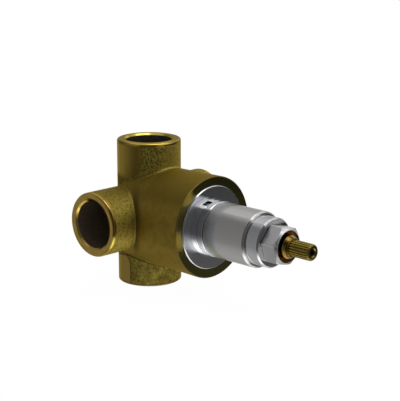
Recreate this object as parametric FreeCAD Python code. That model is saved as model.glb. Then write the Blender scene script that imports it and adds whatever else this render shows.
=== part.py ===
# Shower diverter valve: a cast brass body with four pipe sockets, and a ceramic disc cartridge
# behind a plated bonnet that carries a splined spindle.
# Millimetres, +Z up. The origin is the middle of the bottom socket's pipe stop, where the end of
# the tube seats. The barrel comes forward along -Y. Places on the barrel are distances forward of
# the plane of the four sockets.

import FreeCAD, Part
import math
import os

V = FreeCAD.Vector

# Casting
top_reach = 36.4            # from the barrel axis to the mouth of each socket
bottom_reach = 33.7
side_reach = 36.8
socket_radius = 11.2        # takes a 22.2 mm copper tube
socket_depth = 19.0
socket_chamfer = 0.8
port_wall = 4.15
port_edge_round = 1.0
stop_width = 2.7            # of the ring that stops the tube
barrel_wall = 4.2           # outside the thread
barrel_draft = 0.6          # how much smaller the barrel is at its root
barrel_front = 43.0
barrel_root = 9.0
barrel_back = -2.5
barrel_edge_round = 0.5
casting_round = 2.5
joint_fillet = 1.2          # where the sockets grow out of the barrel
seat_wall = 2.8             # between the sockets and the floor that the cartridge sits on
chamber_gap = 0.4           # round the cartridge
thread_step = 2.0           # how much wider the thread is than the chamber
thread_lead = 1.0           # length of the cone between the two

# Ways through the seat
inlet_way_radius = 4.0
inlet_step = 2.7            # from the inlet's pipe stop to where its way narrows
inlet_hole_share = 0.36     # of the inlet hole's radius in the room for the holes
outlet_land = 1.5           # between an outlet hole and the rim of the fixed disc
seal_web = 0.9              # between the inlet's seal and an outlet's
outlet_wall = 0.4           # metal left between an outlet hole and its waterway's blind end
pin_radius = 1.2
pin_land = 1.6              # between a pin and the rim of the cartridge
pin_depth = 3.0
pin_height = 3.0

# Cartridge
housing_radius = 17.6
housing_wall = 3.3
housing_front_wall = 4.0
base_thickness = 5.0
seal_section = 1.3
disc_gap = 0.3              # between the fixed disc and the housing
fixed_disc_thickness = 3.2
moving_disc_step = 0.5      # how much smaller the moving disc is
moving_disc_thickness = 3.6
channel_depth = 2.1
disc_notch_width = 3.0
disc_notch_depth = 1.3
key_height = 1.6
driver_step = 1.5           # how much smaller the driver is than the moving disc
driver_height = 5.2
driver_lug_width = 3.6
washer_thickness = 0.6
washer_width = 3.5
quarter_turn = 90.0
stop_margin = 1.5           # degrees left between the lug and the rib at full turn
housing_ring_section = 2.0
housing_ring_place = 0.45   # share of the housing's length

# Bonnet, nut, lock ring and sleeve
foot_thickness = 3.0
bonnet_radius = 11.5
bonnet_length = 45.7
bonnet_chamfer = 0.65
clip_room_gap = 1.2
clip_room_depth = 5.0
bonnet_ring_wall = 2.8      # between the clip's room and the rubber ring in the foot
bonnet_ring_section = 1.6
packing_width = 2.65
packing_room_depth = 10.0
nut_proud = 0.3             # how far the nut stands out of the barrel
nut_chamfer = 0.45
skirt_lap = 1.6             # how far the nut's skirt reaches back over the housing
lock_ring_wall = 1.55
lock_ring_length = 5.3
lock_foot_length = 1.8
lock_groove = 0.35
spanner_notch_width = 4.1
spanner_notch_depth = 1.1
spanner_notch_angle = 71.0  # from the left side, upwards
sleeve_gap = 0.5
sleeve_wall = 1.45
sleeve_length = 24.8
sleeve_chamfer = 0.7

# Gland nut
hex_across_flats = 16.4
hex_length = 8.4
hex_turn = -12.0            # of a corner, from the left side
crown_angle = 30.0          # of the cone that trims the six corners
crown_over_flats = 0.3      # how far the front chamfer starts outside the flats
rim_chamfer = 1.0
recess_wall = 0.9           # at the middle of a flat
recess_depth = 2.9
spigot_length = 6.0

# Spindle
journal_radius = 5.5
shoulder_past_nut = 0.9
shoulder_cone = 2.0
shoulder_land = 0.6         # between the small end of the cone and the teeth
spline_length = 11.0
spline_radius = 3.82
tooth_height = 0.42
spline_teeth = 20
tooth_share = 0.5           # of a tooth in its pitch, half way up
flank_share = 0.15          # of half a sloping flank in the pitch
tip_chamfer = 0.6
screw_hole_radius = 1.65    # tapping size of an M4 screw
screw_hole_depth = 12.0
drill_point = 0.6           # depth of the drill's point, as a share of its radius
screw_countersink = 0.45
tang_width = 7.6
tang_gap = 0.4              # between the end of the tang and the moving disc
clip_groove_depth = 1.0
clip_thickness = 1.0
clip_outer = 7.2
clip_opening = 5.0
spindle_ring_section = 1.6
spindle_ring_start = 7.4    # from the clip's room to the first rubber ring
spindle_ring_pitch = 14.0

# Clearances
running_fit = 0.06          # radial, for the spindle in what it turns in
loose_fit = 0.1             # radial, for pieces that are only placed
turning_gap = 0.35          # between the driver or the clip and what stands still
overcut = 1.0               # how far a cutting tool runs past the metal

# Radii that follow
port_radius = socket_radius + port_wall
waterway_radius = socket_radius - stop_width
chamber_radius = housing_radius + chamber_gap
thread_radius = chamber_radius + thread_step
barrel_radius = thread_radius + barrel_wall
housing_bore = housing_radius - housing_wall
disc_radius = housing_bore - disc_gap
moving_disc_radius = disc_radius - moving_disc_step
driver_radius = moving_disc_radius - driver_step
lug_reach = housing_bore - turning_gap
stop_rib_radius = driver_radius + turning_gap
hole_room = disc_radius - outlet_land - seal_web - 2 * seal_section
inlet_hole_radius = hole_room * inlet_hole_share
outlet_hole_radius = (hole_room - inlet_hole_radius) / 2
outlet_pitch = disc_radius - outlet_land - outlet_hole_radius
pin_pitch = housing_radius - pin_land - pin_radius
foot_radius = housing_radius - loose_fit
spindle_hole = journal_radius + running_fit
clip_room_radius = clip_outer + clip_room_gap
bonnet_ring_radius = clip_room_radius + bonnet_ring_wall + bonnet_ring_section / 2
packing_room_radius = spindle_hole + packing_width
nut_outer = thread_radius - loose_fit
nut_bore = bonnet_radius + loose_fit
lock_ring_radius = nut_bore + lock_ring_wall
sleeve_radius = nut_bore + sleeve_wall
recess_radius = hex_across_flats / 2 - recess_wall

# The stack along the barrel, from the seat forwards
axis_height = bottom_reach - socket_depth
seat = socket_radius + seat_wall
disc_back = seat + base_thickness
moving_back = disc_back + fixed_disc_thickness
driver_back = moving_back + moving_disc_thickness
driver_front = driver_back + driver_height
wall_back = driver_front + washer_thickness
foot_back = wall_back + housing_front_wall
foot_front = foot_back + foot_thickness
skirt_back = foot_back - skirt_lap
nut_front = barrel_front + nut_proud
lock_front = nut_front + lock_ring_length
sleeve_back = lock_front + sleeve_gap
sleeve_front = sleeve_back + sleeve_length
bonnet_front = foot_back + bonnet_length
packing_back = bonnet_front - packing_room_depth
packing_front = bonnet_front - spigot_length
hex_front = bonnet_front + hex_length
shoulder_front = hex_front + shoulder_past_nut
spline_back = shoulder_front + shoulder_cone
tip = spline_back + spline_length
clip_back = foot_back + turning_gap
clip_room_front = foot_back + clip_room_depth
spindle_ring_places = [clip_room_front + spindle_ring_start + spindle_ring_pitch * k for k in (0, 1)]

# Directions across the barrel, as angles from +X towards +Z
outlet_angles = {"left": 180.0, "top": 90.0, "right": 0.0}
pin_angles = [outlet_angles["right"] + 45.0, outlet_angles["top"] + 45.0]
base_key_angles = pin_angles
driver_key_angles = [outlet_angles["right"], outlet_angles["left"]]
clip_mouth_angle = outlet_angles["top"] + 180.0


def facing(direction):
    """The frame whose own +Z points in a direction from the crossing of all the axes."""
    turn = FreeCAD.Rotation(V(0, 0, 1), direction)
    return FreeCAD.Placement(V(0, 0, axis_height), turn)


barrel = facing(V(0, -1, 0))
ports = {
    "top": (facing(V(0, 0, 1)), top_reach),
    "bottom": (facing(V(0, 0, -1)), bottom_reach),
    "left": (facing(V(-1, 0, 0)), side_reach),
    "right": (facing(V(1, 0, 0)), side_reach),
}


def outline(points):
    """A closed outline in the XZ plane from (along, radius) or (along, radius, corner round)."""
    corners = [V(p[1], 0, p[0]) for p in points]
    rounds = [p[2] if len(p) > 2 else 0.0 for p in points]
    edges = []
    ends = []
    for k, corner in enumerate(corners):
        back = (corners[k - 1] - corner).normalize()
        ahead = (corners[(k + 1) % len(corners)] - corner).normalize()
        if not rounds[k]:
            ends.append((corner, corner))
            continue
        half = back.getAngle(ahead) / 2
        start = corner + back * (rounds[k] / math.tan(half))
        end = corner + ahead * (rounds[k] / math.tan(half))
        middle = (back + ahead).normalize()
        reach = rounds[k] / math.sin(half) - rounds[k]
        edges.append(Part.Arc(start, corner + middle * reach, end).toShape())
        ends.append((start, end))
    for k in range(len(ends)):
        start = ends[k][1]
        end = ends[(k + 1) % len(ends)][0]
        if start.distanceToPoint(end) > 1e-6:
            edges.append(Part.LineSegment(start, end).toShape())
    return Part.Wire(Part.__sortEdges__(edges))


def turned(points, frame=barrel, start=0.0, sweep=360.0):
    """A piece turned on a lathe: its half outline, revolved about its frame's axis."""
    face = Part.Face(outline(points))
    face.rotate(V(0, 0, 0), V(0, 0, 1), start)
    solid = face.revolve(V(0, 0, 0), V(0, 0, 1), sweep)
    solid.Placement = frame
    return solid


def rod(radius, start, end, frame=barrel):
    """A plain round bar, also used as a drill."""
    return turned([(start, 0), (start, radius), (end, radius), (end, 0)], frame)


def tube(inner, outer, start, end, frame=barrel):
    """A plain tube or washer."""
    return turned([(start, inner), (start, outer), (end, outer), (end, inner)], frame)


def ring(middle, section, place):
    """A round rubber ring about the barrel's axis."""
    shape = Part.makeTorus(middle, section / 2)
    shape.Placement = barrel.multiply(FreeCAD.Placement(V(0, 0, place), FreeCAD.Rotation()))
    return shape


def across(angle, pitch=0.0):
    """The barrel's frame, moved off its axis at an angle from +X towards +Z."""
    offset = V(pitch * math.cos(math.radians(angle)), 0, pitch * math.sin(math.radians(angle)))
    return FreeCAD.Placement(V(0, 0, axis_height) + offset, barrel.Rotation)


def radial_block(angle, width, near, far, start, end):
    """A block that points away from the barrel's axis at an angle from +X towards +Z."""
    block = Part.makeBox(far - near, end - start, width, V(near, -end, -width / 2))
    block.rotate(V(0, 0, 0), V(0, 1, 0), -angle)
    block.translate(V(0, 0, axis_height))
    return block


def port_blank(name):
    """The outside of one socket, from the crossing to its mouth."""
    frame, reach = ports[name]
    return turned([(0, 0), (0, port_radius), (reach, port_radius, port_edge_round), (reach, 0)], frame)


def port_bore(name):
    """The socket, its chamfer and the waterway behind it."""
    frame, reach = ports[name]
    stop = reach - socket_depth
    blind = stop - inlet_step if name == "bottom" else outlet_pitch - outlet_hole_radius - outlet_wall
    mouth = socket_radius + socket_chamfer
    return turned(
        [
            (blind, 0),
            (blind, waterway_radius),
            (stop, waterway_radius),
            (stop, socket_radius),
            (reach - socket_chamfer, socket_radius),
            (reach, mouth),
            (reach + overcut, mouth),
            (reach + overcut, 0),
        ],
        frame,
    )


def barrel_blank():
    """The outside of the barrel and the back of the casting."""
    root = barrel_radius - barrel_draft
    return turned(
        [
            (barrel_back, 0),
            (barrel_back, root, casting_round),
            (barrel_root, root),
            (barrel_front, barrel_radius, barrel_edge_round),
            (barrel_front, 0),
        ]
    )


def barrel_bore():
    """The cartridge chamber and the thread's bore."""
    return turned(
        [
            (seat, 0),
            (seat, chamber_radius),
            (skirt_back - thread_lead, chamber_radius),
            (skirt_back, thread_radius),
            (barrel_front, thread_radius),
            (barrel_front, 0),
        ]
    )


def valve_body():
    """The brass casting, bored out."""
    body = barrel_blank()
    for name in ports:
        body = body.fuse(port_blank(name))
    body = body.removeSplitter()
    joints = [edge for edge in body.Edges if is_joint(edge)]
    body = body.makeFillet(joint_fillet, joints)
    tools = [barrel_bore()]
    for name in ports:
        tools.append(port_bore(name))
    tools.append(rod(inlet_way_radius, 0, axis_height, ports["bottom"][0]))
    tools.append(rod(inlet_hole_radius, 0, seat))
    for angle in outlet_angles.values():
        tools.append(rod(outlet_hole_radius, 0, seat, across(angle, outlet_pitch)))
    for angle in pin_angles:
        tools.append(rod(pin_radius, seat - pin_depth, seat, across(angle, pin_pitch)))
    for tool in tools:
        body = body.cut(tool)
    return body


def is_joint(edge):
    """Whether an edge is where two round forms of the casting meet."""
    return not isinstance(edge.Curve, (Part.Circle, Part.Line))


def cartridge_base():
    """Plate on the seat, with pockets for the seals and keys for the fixed disc."""
    base = rod(housing_radius, seat, disc_back)
    holes = [(inlet_hole_radius, 0.0, 0.0)]
    for angle in outlet_angles.values():
        holes.append((outlet_hole_radius, angle, outlet_pitch))
    for radius, angle, pitch in holes:
        frame = across(angle, pitch)
        base = base.cut(rod(radius, seat, disc_back, frame))
        base = base.cut(rod(radius + seal_section, seat, seat + seal_section, frame))
    for angle in pin_angles:
        base = base.cut(rod(pin_radius, seat, seat + pin_height, across(angle, pin_pitch)))
    for angle in base_key_angles:
        key = radial_block(
            angle,
            disc_notch_width - 2 * loose_fit,
            disc_radius - disc_notch_depth + loose_fit,
            housing_bore - loose_fit,
            disc_back,
            disc_back + key_height,
        )
        base = base.fuse(key)
    return base.removeSplitter()


def seal(angle, pitch, radius):
    """A square-cut rubber ring in its pocket, flush with the back of the base."""
    return tube(radius, radius + seal_section, seat, seat + seal_section, across(angle, pitch))


def fixed_disc():
    """Ceramic disc with a hole for the inlet and one for each outlet."""
    disc = rod(disc_radius, disc_back, moving_back)
    disc = disc.cut(rod(inlet_hole_radius, disc_back, moving_back))
    for angle in outlet_angles.values():
        disc = disc.cut(rod(outlet_hole_radius, disc_back, moving_back, across(angle, outlet_pitch)))
    for angle in base_key_angles:
        notch = radial_block(
            angle,
            disc_notch_width,
            disc_radius - disc_notch_depth,
            disc_radius + overcut,
            disc_back,
            disc_back + key_height + loose_fit,
        )
        disc = disc.cut(notch)
    return disc


def moving_disc():
    """Ceramic disc whose channel joins the middle to one outlet, the top one at rest."""
    disc = rod(moving_disc_radius, moving_back, driver_back)
    channel_end = moving_back + channel_depth
    disc = disc.cut(rod(inlet_hole_radius, moving_back, channel_end))
    top = outlet_angles["top"]
    disc = disc.cut(rod(outlet_hole_radius, moving_back, channel_end, across(top, outlet_pitch)))
    disc = disc.cut(radial_block(top, 2 * outlet_hole_radius, 0, outlet_pitch, moving_back, channel_end))
    for angle in driver_key_angles:
        notch = radial_block(
            angle,
            disc_notch_width,
            moving_disc_radius - 2 * disc_notch_depth,
            moving_disc_radius + overcut,
            driver_back - disc_notch_depth,
            driver_back,
        )
        disc = disc.cut(notch)
    return disc


def disc_driver():
    """Turns the moving disc by two keys, takes the spindle's tang and stops against the rib."""
    driver = rod(driver_radius, driver_back, driver_front)
    for angle in driver_key_angles:
        key = radial_block(
            angle,
            disc_notch_width - 2 * loose_fit,
            moving_disc_radius - 2 * disc_notch_depth + loose_fit,
            driver_radius,
            driver_back - disc_notch_depth + loose_fit,
            driver_front - driver_height / 2,
        )
        driver = driver.fuse(key)
    top = outlet_angles["top"]
    lug = radial_block(top, driver_lug_width, 0, lug_reach, driver_back, driver_front)
    driver = driver.fuse(lug).removeSplitter()
    hole = tang_width + 2 * loose_fit
    return driver.cut(square_bar(hole, driver_back, driver_front))


def square_bar(width, start, end):
    """A square bar on the barrel's axis."""
    return Part.makeBox(width, end - start, width, V(-width / 2, -end, axis_height - width / 2))


def cartridge_housing():
    """Cup over the discs, with a rib that leaves the lug room for a quarter turn each way."""
    housing = turned(
        [
            (disc_back, housing_bore),
            (disc_back, housing_radius),
            (foot_back, housing_radius),
            (foot_back, spindle_hole),
            (wall_back, spindle_hole),
            (wall_back, housing_bore),
        ]
    )
    lug_half = math.degrees(math.asin(driver_lug_width / 2 / stop_rib_radius))
    gap_half = quarter_turn + lug_half + stop_margin
    rib = turned(
        [
            (driver_back + turning_gap, stop_rib_radius),
            (driver_back + turning_gap, housing_bore + loose_fit),
            (wall_back, housing_bore + loose_fit),
            (wall_back, stop_rib_radius),
        ],
        start=outlet_angles["top"] + gap_half,
        sweep=360.0 - 2 * gap_half,
    )
    housing = housing.fuse(rib).removeSplitter()
    place, middle = housing_ring()
    half = housing_ring_section / 2
    return housing.cut(tube(middle - half, housing_radius + overcut, place - half, place + half))


def housing_ring():
    """Where the housing's rubber ring sits: its distance forward and its middle radius."""
    place = disc_back + (foot_back - disc_back) * housing_ring_place
    return place, chamber_radius - loose_fit - housing_ring_section / 2


def housing_oring():
    """Rubber ring between the housing and the barrel."""
    place, middle = housing_ring()
    return ring(middle, housing_ring_section, place)


def bonnet():
    """The plated tube that holds the spindle, with the foot that the nut clamps."""
    shape = turned(
        [
            (foot_back, clip_room_radius),
            (foot_back, foot_radius),
            (foot_front, foot_radius),
            (foot_front, bonnet_radius),
            (bonnet_front - bonnet_chamfer, bonnet_radius),
            (bonnet_front, bonnet_radius - bonnet_chamfer),
            (bonnet_front, packing_room_radius),
            (packing_back, packing_room_radius),
            (packing_back, spindle_hole),
            (clip_room_front, spindle_hole),
            (clip_room_front, clip_room_radius),
        ]
    )
    half = bonnet_ring_section / 2
    groove = tube(
        bonnet_ring_radius - half,
        bonnet_ring_radius + half,
        foot_back,
        foot_back + bonnet_ring_section,
    )
    return shape.cut(groove)


def bonnet_oring():
    """Rubber ring between the bonnet's foot and the housing."""
    return ring(bonnet_ring_radius, bonnet_ring_section, foot_back + bonnet_ring_section / 2)


def retaining_nut():
    """Flanged nut that clamps the bonnet's foot, with a polished face."""
    return turned(
        [
            (skirt_back, housing_radius + loose_fit),
            (skirt_back, nut_outer),
            (nut_front - nut_chamfer, nut_outer),
            (nut_front, nut_outer - nut_chamfer),
            (nut_front, nut_bore),
            (foot_front, nut_bore),
            (foot_front, housing_radius + loose_fit),
        ]
    )


def lock_ring():
    """Ring on the bonnet in front of the nut, with two spanner notches at its foot."""
    foot = nut_front + lock_foot_length
    shape = turned(
        [
            (nut_front, nut_bore),
            (nut_front, lock_ring_radius),
            (foot - lock_groove, lock_ring_radius),
            (foot, lock_ring_radius - lock_groove),
            (foot + lock_groove, lock_ring_radius),
            (lock_front - lock_groove, lock_ring_radius),
            (lock_front, lock_ring_radius - lock_groove),
            (lock_front, nut_bore),
        ]
    )
    first = 180.0 - spanner_notch_angle
    for angle in (first, first + 180.0):
        notch = radial_block(
            angle,
            spanner_notch_width,
            lock_ring_radius - spanner_notch_depth,
            lock_ring_radius + overcut,
            nut_front,
            foot,
        )
        shape = shape.cut(notch)
    return shape


def sleeve():
    """Satin tube over the bonnet."""
    return turned(
        [
            (sleeve_back, nut_bore),
            (sleeve_back, sleeve_radius),
            (sleeve_front - sleeve_chamfer, sleeve_radius),
            (sleeve_front, sleeve_radius - sleeve_chamfer),
            (sleeve_front, nut_bore),
        ]
    )


def gland_nut():
    """Six-sided nut with crowned corners, a spigot in the bonnet and a recess in front."""
    corner = hex_across_flats / math.sqrt(3)
    points = []
    for k in range(7):
        turn = math.radians(outlet_angles["left"] + hex_turn + 60.0 * k)
        points.append(V(corner * math.cos(turn), -bonnet_front, axis_height + corner * math.sin(turn)))
    bar = Part.Face(Part.makePolygon(points)).extrude(V(0, -hex_length, 0))
    crown_radius = hex_across_flats / 2 + crown_over_flats
    crown_front = hex_front - rim_chamfer
    outside = corner + overcut
    crown_back = crown_front - (outside - crown_radius) * math.tan(math.radians(crown_angle))
    envelope = turned(
        [
            (bonnet_front, 0),
            (bonnet_front, outside),
            (crown_back, outside),
            (crown_front, crown_radius),
            (hex_front, crown_radius - rim_chamfer),
            (hex_front, 0),
        ]
    )
    spigot = rod(packing_room_radius - loose_fit, packing_front, bonnet_front)
    nut = bar.common(envelope).fuse(spigot).removeSplitter()
    nut = nut.cut(rod(recess_radius, hex_front - recess_depth, hex_front))
    return nut.cut(rod(spindle_hole, packing_front, hex_front))


def gland_packing():
    """Ring that the gland nut squeezes round the spindle."""
    outer = packing_room_radius - loose_fit
    return tube(spindle_hole, outer, packing_back, packing_front)


def spline_bar():
    """The toothed end of the spindle, before its chamfer and hole."""
    pitch = 2 * math.pi / spline_teeth
    crest = pitch * tooth_share / 2
    flank = pitch * flank_share
    spline_root_radius = spline_radius - tooth_height
    points = []
    for k in range(spline_teeth):
        middle = k * pitch
        for turn, radius in (
            (middle - crest - flank, spline_root_radius),
            (middle - crest + flank, spline_radius),
            (middle + crest - flank, spline_radius),
            (middle + crest + flank, spline_root_radius),
        ):
            points.append(V(radius * math.cos(turn), radius * math.sin(turn), spline_back))
    points.append(points[0])
    bar = Part.Face(Part.makePolygon(points)).extrude(V(0, 0, spline_length))
    bar.Placement = barrel
    return bar


def ring_groove(place):
    """The cut in the spindle for one of its rubber rings."""
    half = spindle_ring_section / 2
    floor = journal_radius - spindle_ring_section - running_fit
    return tube(floor, journal_radius + overcut, place - half, place + half)


def spindle():
    """Brass spindle: square tang, journal, shoulder, spline and tapped hole."""
    shaft = turned(
        [
            (driver_front, 0),
            (driver_front, journal_radius),
            (shoulder_front, journal_radius),
            (spline_back, spline_radius + shoulder_land),
            (spline_back, 0),
        ]
    )
    bar = spline_bar()
    trim = turned(
        [
            (tip - tip_chamfer, spline_radius + tip_chamfer),
            (tip - tip_chamfer, spline_radius),
            (tip, spline_radius - tip_chamfer),
            (tip, spline_radius + tip_chamfer),
        ]
    )
    shaft = shaft.fuse(bar.cut(trim)).fuse(square_bar(tang_width, driver_back + tang_gap, driver_front))
    for place in spindle_ring_places:
        shaft = shaft.cut(ring_groove(place))
    floor = journal_radius - clip_groove_depth
    shaft = shaft.cut(tube(floor, journal_radius + overcut, clip_back, clip_back + clip_thickness))
    hole = turned(
        [
            (tip - screw_hole_depth - screw_hole_radius * drill_point, 0),
            (tip - screw_hole_depth, screw_hole_radius),
            (tip - screw_countersink, screw_hole_radius),
            (tip, screw_hole_radius + screw_countersink),
            (tip, 0),
        ]
    )
    return shaft.cut(hole)


def spindle_clip():
    """Open snap ring that keeps the spindle from being pushed in."""
    inner = journal_radius - clip_groove_depth
    clip = tube(inner, clip_outer, clip_back, clip_back + clip_thickness)
    reach = clip_outer + overcut
    mouth = radial_block(clip_mouth_angle, clip_opening, 0, reach, clip_back, clip_back + clip_thickness)
    return clip.cut(mouth)


def spindle_oring(place):
    """Rubber ring in the spindle's groove."""
    return ring(journal_radius - spindle_ring_section / 2, spindle_ring_section, place)


def locating_pins():
    """Two pins between the body and the cartridge's base."""
    pins = []
    for angle in pin_angles:
        pins.append(rod(pin_radius, seat - pin_depth, seat + pin_height, across(angle, pin_pitch)))
    return Part.makeCompound(pins)


def main():
    """Build every piece and write it to its own file."""
    pieces = {
        "valve_body": valve_body(),
        "locating_pins": locating_pins(),
        "inlet_seal": seal(0.0, 0.0, inlet_hole_radius),
        "cartridge_base": cartridge_base(),
        "fixed_disc": fixed_disc(),
        "moving_disc": moving_disc(),
        "disc_driver": disc_driver(),
        "thrust_washer": tube(spindle_hole, spindle_hole + washer_width, driver_front, wall_back),
        "cartridge_housing": cartridge_housing(),
        "housing_oring": housing_oring(),
        "bonnet": bonnet(),
        "bonnet_oring": bonnet_oring(),
        "retaining_nut": retaining_nut(),
        "lock_ring": lock_ring(),
        "sleeve": sleeve(),
        "gland_nut": gland_nut(),
        "gland_packing": gland_packing(),
        "spindle": spindle(),
        "spindle_clip": spindle_clip(),
        "spindle_oring_inner": spindle_oring(spindle_ring_places[0]),
        "spindle_oring_outer": spindle_oring(spindle_ring_places[1]),
    }
    for side, angle in outlet_angles.items():
        pieces["outlet_seal_" + side] = seal(angle, outlet_pitch, outlet_hole_radius)
    os.makedirs("parts", exist_ok=True)
    for name, shape in pieces.items():
        print(name, shape.isValid(), len(shape.Solids), round(shape.Volume, 1))
        shape.exportStep("parts/" + name + ".step")


main()
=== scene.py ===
"""Looks of the shower diverter valve: finishes, finely turned skins, studio and camera.

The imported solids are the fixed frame, in metres. A skin is built where a solid has a curved polished
surface, and takes that solid's place. Every other solid keeps its own mesh and gets a finish.
"""

from __future__ import annotations

import logging
import math
from collections.abc import Mapping, Sequence
from dataclasses import dataclass, field
from enum import Enum, IntEnum

import bmesh
import bpy
import numpy as np
from mathutils import Matrix, Vector

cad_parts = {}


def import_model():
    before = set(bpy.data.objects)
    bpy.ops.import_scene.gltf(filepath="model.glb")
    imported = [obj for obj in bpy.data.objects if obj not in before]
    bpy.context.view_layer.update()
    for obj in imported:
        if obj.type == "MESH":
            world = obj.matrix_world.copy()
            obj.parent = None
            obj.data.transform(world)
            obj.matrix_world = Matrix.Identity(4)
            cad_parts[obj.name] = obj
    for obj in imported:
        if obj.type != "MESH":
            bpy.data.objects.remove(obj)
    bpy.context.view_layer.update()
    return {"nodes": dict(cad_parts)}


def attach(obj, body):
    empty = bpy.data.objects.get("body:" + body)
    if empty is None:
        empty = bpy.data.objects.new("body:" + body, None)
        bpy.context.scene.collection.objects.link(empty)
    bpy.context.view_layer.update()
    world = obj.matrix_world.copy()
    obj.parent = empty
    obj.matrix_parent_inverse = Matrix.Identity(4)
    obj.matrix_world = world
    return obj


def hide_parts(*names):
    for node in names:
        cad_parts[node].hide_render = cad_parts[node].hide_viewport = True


log = logging.getLogger("shower_diverter")

MM = 0.001
AXIS_HEIGHT = 14.7  # of the barrel's axis over the inlet's pipe stop, in mm
DIAGONAL = 0.707  # cosine of the 45 degrees between the sockets' line and the camera's sideways
Corner = tuple[float, float, float]
Colour = tuple[float, float, float]
Span = tuple[float, float]  # where a mask starts and where it is full
Tint = tuple[float, float, float, float]
Row = tuple[np.ndarray | float, np.ndarray]  # a distance forward and a radius for each column, in mm


class Axis(Enum):
    """The line that a surface was turned about, through the crossing of the waterways."""

    ACROSS = "x"
    BARREL = "y"
    UPRIGHT = "z"


# ---------------------------------------------------------------- surfaces


def rounded_outline(corners: Sequence[Corner], steps: int = 6, guard: float = 0.05) -> np.ndarray:
    """Round the corners of a closed half outline.

    Formula in words: at each corner the two sides meet at twice the angle h. The arc starts and ends
    round / tan(h) along the sides, about a centre that lies round / sin(h) along their bisector. One
    guard point on each side of the arc keeps the shading of the straight sides straight.

    Args:
        corners: (along, radius, round) of each corner, in mm.
        steps: points on each arc.
        guard: distance from the arc to its guard points, in mm.

    Returns:
        Array of (along, radius), in mm.
    """
    table = np.array(corners, float)
    points, rounds = table[:, :2], table[:, 2:3]
    back = np.roll(points, 1, axis=0) - points
    ahead = np.roll(points, -1, axis=0) - points
    back /= np.linalg.norm(back, axis=1, keepdims=True)
    ahead /= np.linalg.norm(ahead, axis=1, keepdims=True)
    half = np.arccos(np.clip((back * ahead).sum(1, keepdims=True), -1, 1)) / 2
    cut = rounds / np.tan(half)
    bisector = back + ahead
    bisector /= np.linalg.norm(bisector, axis=1, keepdims=True)
    centre = points + bisector * rounds / np.sin(half)
    start, end = points + back * cut - centre, points + ahead * cut - centre
    sweep = np.pi - 2 * half
    share = np.linspace(0, 1, steps)[:, None, None]
    arc = (start * np.sin((1 - share) * sweep) + end * np.sin(share * sweep)) / np.sin(sweep) + centre
    first = points + back * (cut + guard)
    last = points + ahead * (cut + guard)
    return np.concatenate([first[None], arc, last[None]]).transpose(1, 0, 2).reshape(-1, 2)


def turned_points(along: np.ndarray, radius: np.ndarray, turn: np.ndarray) -> np.ndarray:
    """Carry (along, radius) round the barrel's axis.

    Formula in words: x is the radius times the cosine of the turn, z is the axis height plus the
    radius times its sine, and y is minus the distance forward.

    Args:
        along: distances forward of the sockets' plane, in mm, that broadcast with the others.
        radius: radii in mm.
        turn: angles in radians from +X towards +Z.

    Returns:
        Array of points in metres, rows by columns by three.
    """
    along, radius, turn = np.broadcast_arrays(along, radius, turn)
    points = np.stack([radius * np.cos(turn), -along, AXIS_HEIGHT + radius * np.sin(turn)], axis=-1)
    return points * MM


def add_object(name: str, data: bpy.types.ID) -> bpy.types.Object:
    """Make an object from its data and put it in the scene.

    Args:
        name: name of the object.
        data: its mesh, lamp or camera.

    Returns:
        The object, at the origin.
    """
    made = bpy.data.objects.new(name, data)
    bpy.context.scene.collection.objects.link(made)
    return made


def grid_object(name: str, points: np.ndarray, close_rows: bool, close_columns: bool) -> bpy.types.Object:
    """Make an object from a grid of points.

    Formula in words: the four corners of each face are a point, its next column, that one's next row
    and its own next row. Where rows or columns close, the last one is joined to the first.

    Args:
        name: name of the object.
        points: rows by columns by three, in metres.
        close_rows: whether the last row joins the first.
        close_columns: whether the last column joins the first.

    Returns:
        The object, at the origin, with its points in the order of the grid.
    """
    rows, columns = points.shape[:2]
    index = np.arange(rows * columns).reshape(rows, columns)
    if close_rows:
        index = np.concatenate([index, index[:1]])
    if close_columns:
        index = np.concatenate([index, index[:, :1]], axis=1)
    faces = np.stack([index[:-1, :-1], index[:-1, 1:], index[1:, 1:], index[1:, :-1]], axis=-1)
    mesh = bpy.data.meshes.new(name)
    mesh.from_pydata(points.reshape(-1, 3).tolist(), [], faces.reshape(-1, 4).tolist())
    return add_object(name, mesh)


def grid_piece(name: str, points: np.ndarray, close_rows: bool, sharp: float = 32.0) -> bpy.types.Object:
    """Make a finished piece from a grid of points whose columns close round.

    Args:
        name: name of the piece.
        points: rows by columns by three, in metres.
        close_rows: whether the last row joins the first.
        sharp: angle in degrees past which an edge is shaded sharp.

    Returns:
        The object, at the origin, with doubles merged and its faces outwards.
    """
    piece = grid_object(name, points, close_rows, close_columns=True)
    finish_mesh(piece.data, sharp)
    return piece


def finish_mesh(mesh: bpy.types.Mesh, sharp: float) -> None:
    """Merge doubles, turn the faces outwards and shade smooth between sharp edges.

    Args:
        mesh: the mesh to finish in place.
        sharp: angle in degrees past which an edge is shaded sharp.
    """
    if "custom_normal" in mesh.attributes:
        mesh.attributes.remove(mesh.attributes["custom_normal"])
    work = bmesh.new()
    work.from_mesh(mesh)
    bmesh.ops.remove_doubles(work, verts=work.verts[:], dist=0.002 * MM)
    bmesh.ops.dissolve_degenerate(work, edges=work.edges[:], dist=0.001 * MM)
    bmesh.ops.recalc_face_normals(work, faces=work.faces[:])
    work.normal_update()
    for face in work.faces:
        face.smooth = True
    for edge in work.edges:
        edge.smooth = edge.calc_face_angle(0.0) < math.radians(sharp)
    work.to_mesh(mesh)
    work.free()
    mesh.update()


def weigh_normals(piece: bpy.types.Object) -> None:
    """Shade by the area of the faces, so that large flats stay flat beside their small rounds.

    Args:
        piece: the piece that gets the modifier.
    """
    modifier = piece.modifiers.new("weighted_normals", "WEIGHTED_NORMAL")
    modifier.keep_sharp = True
    modifier.weight = 100


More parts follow.
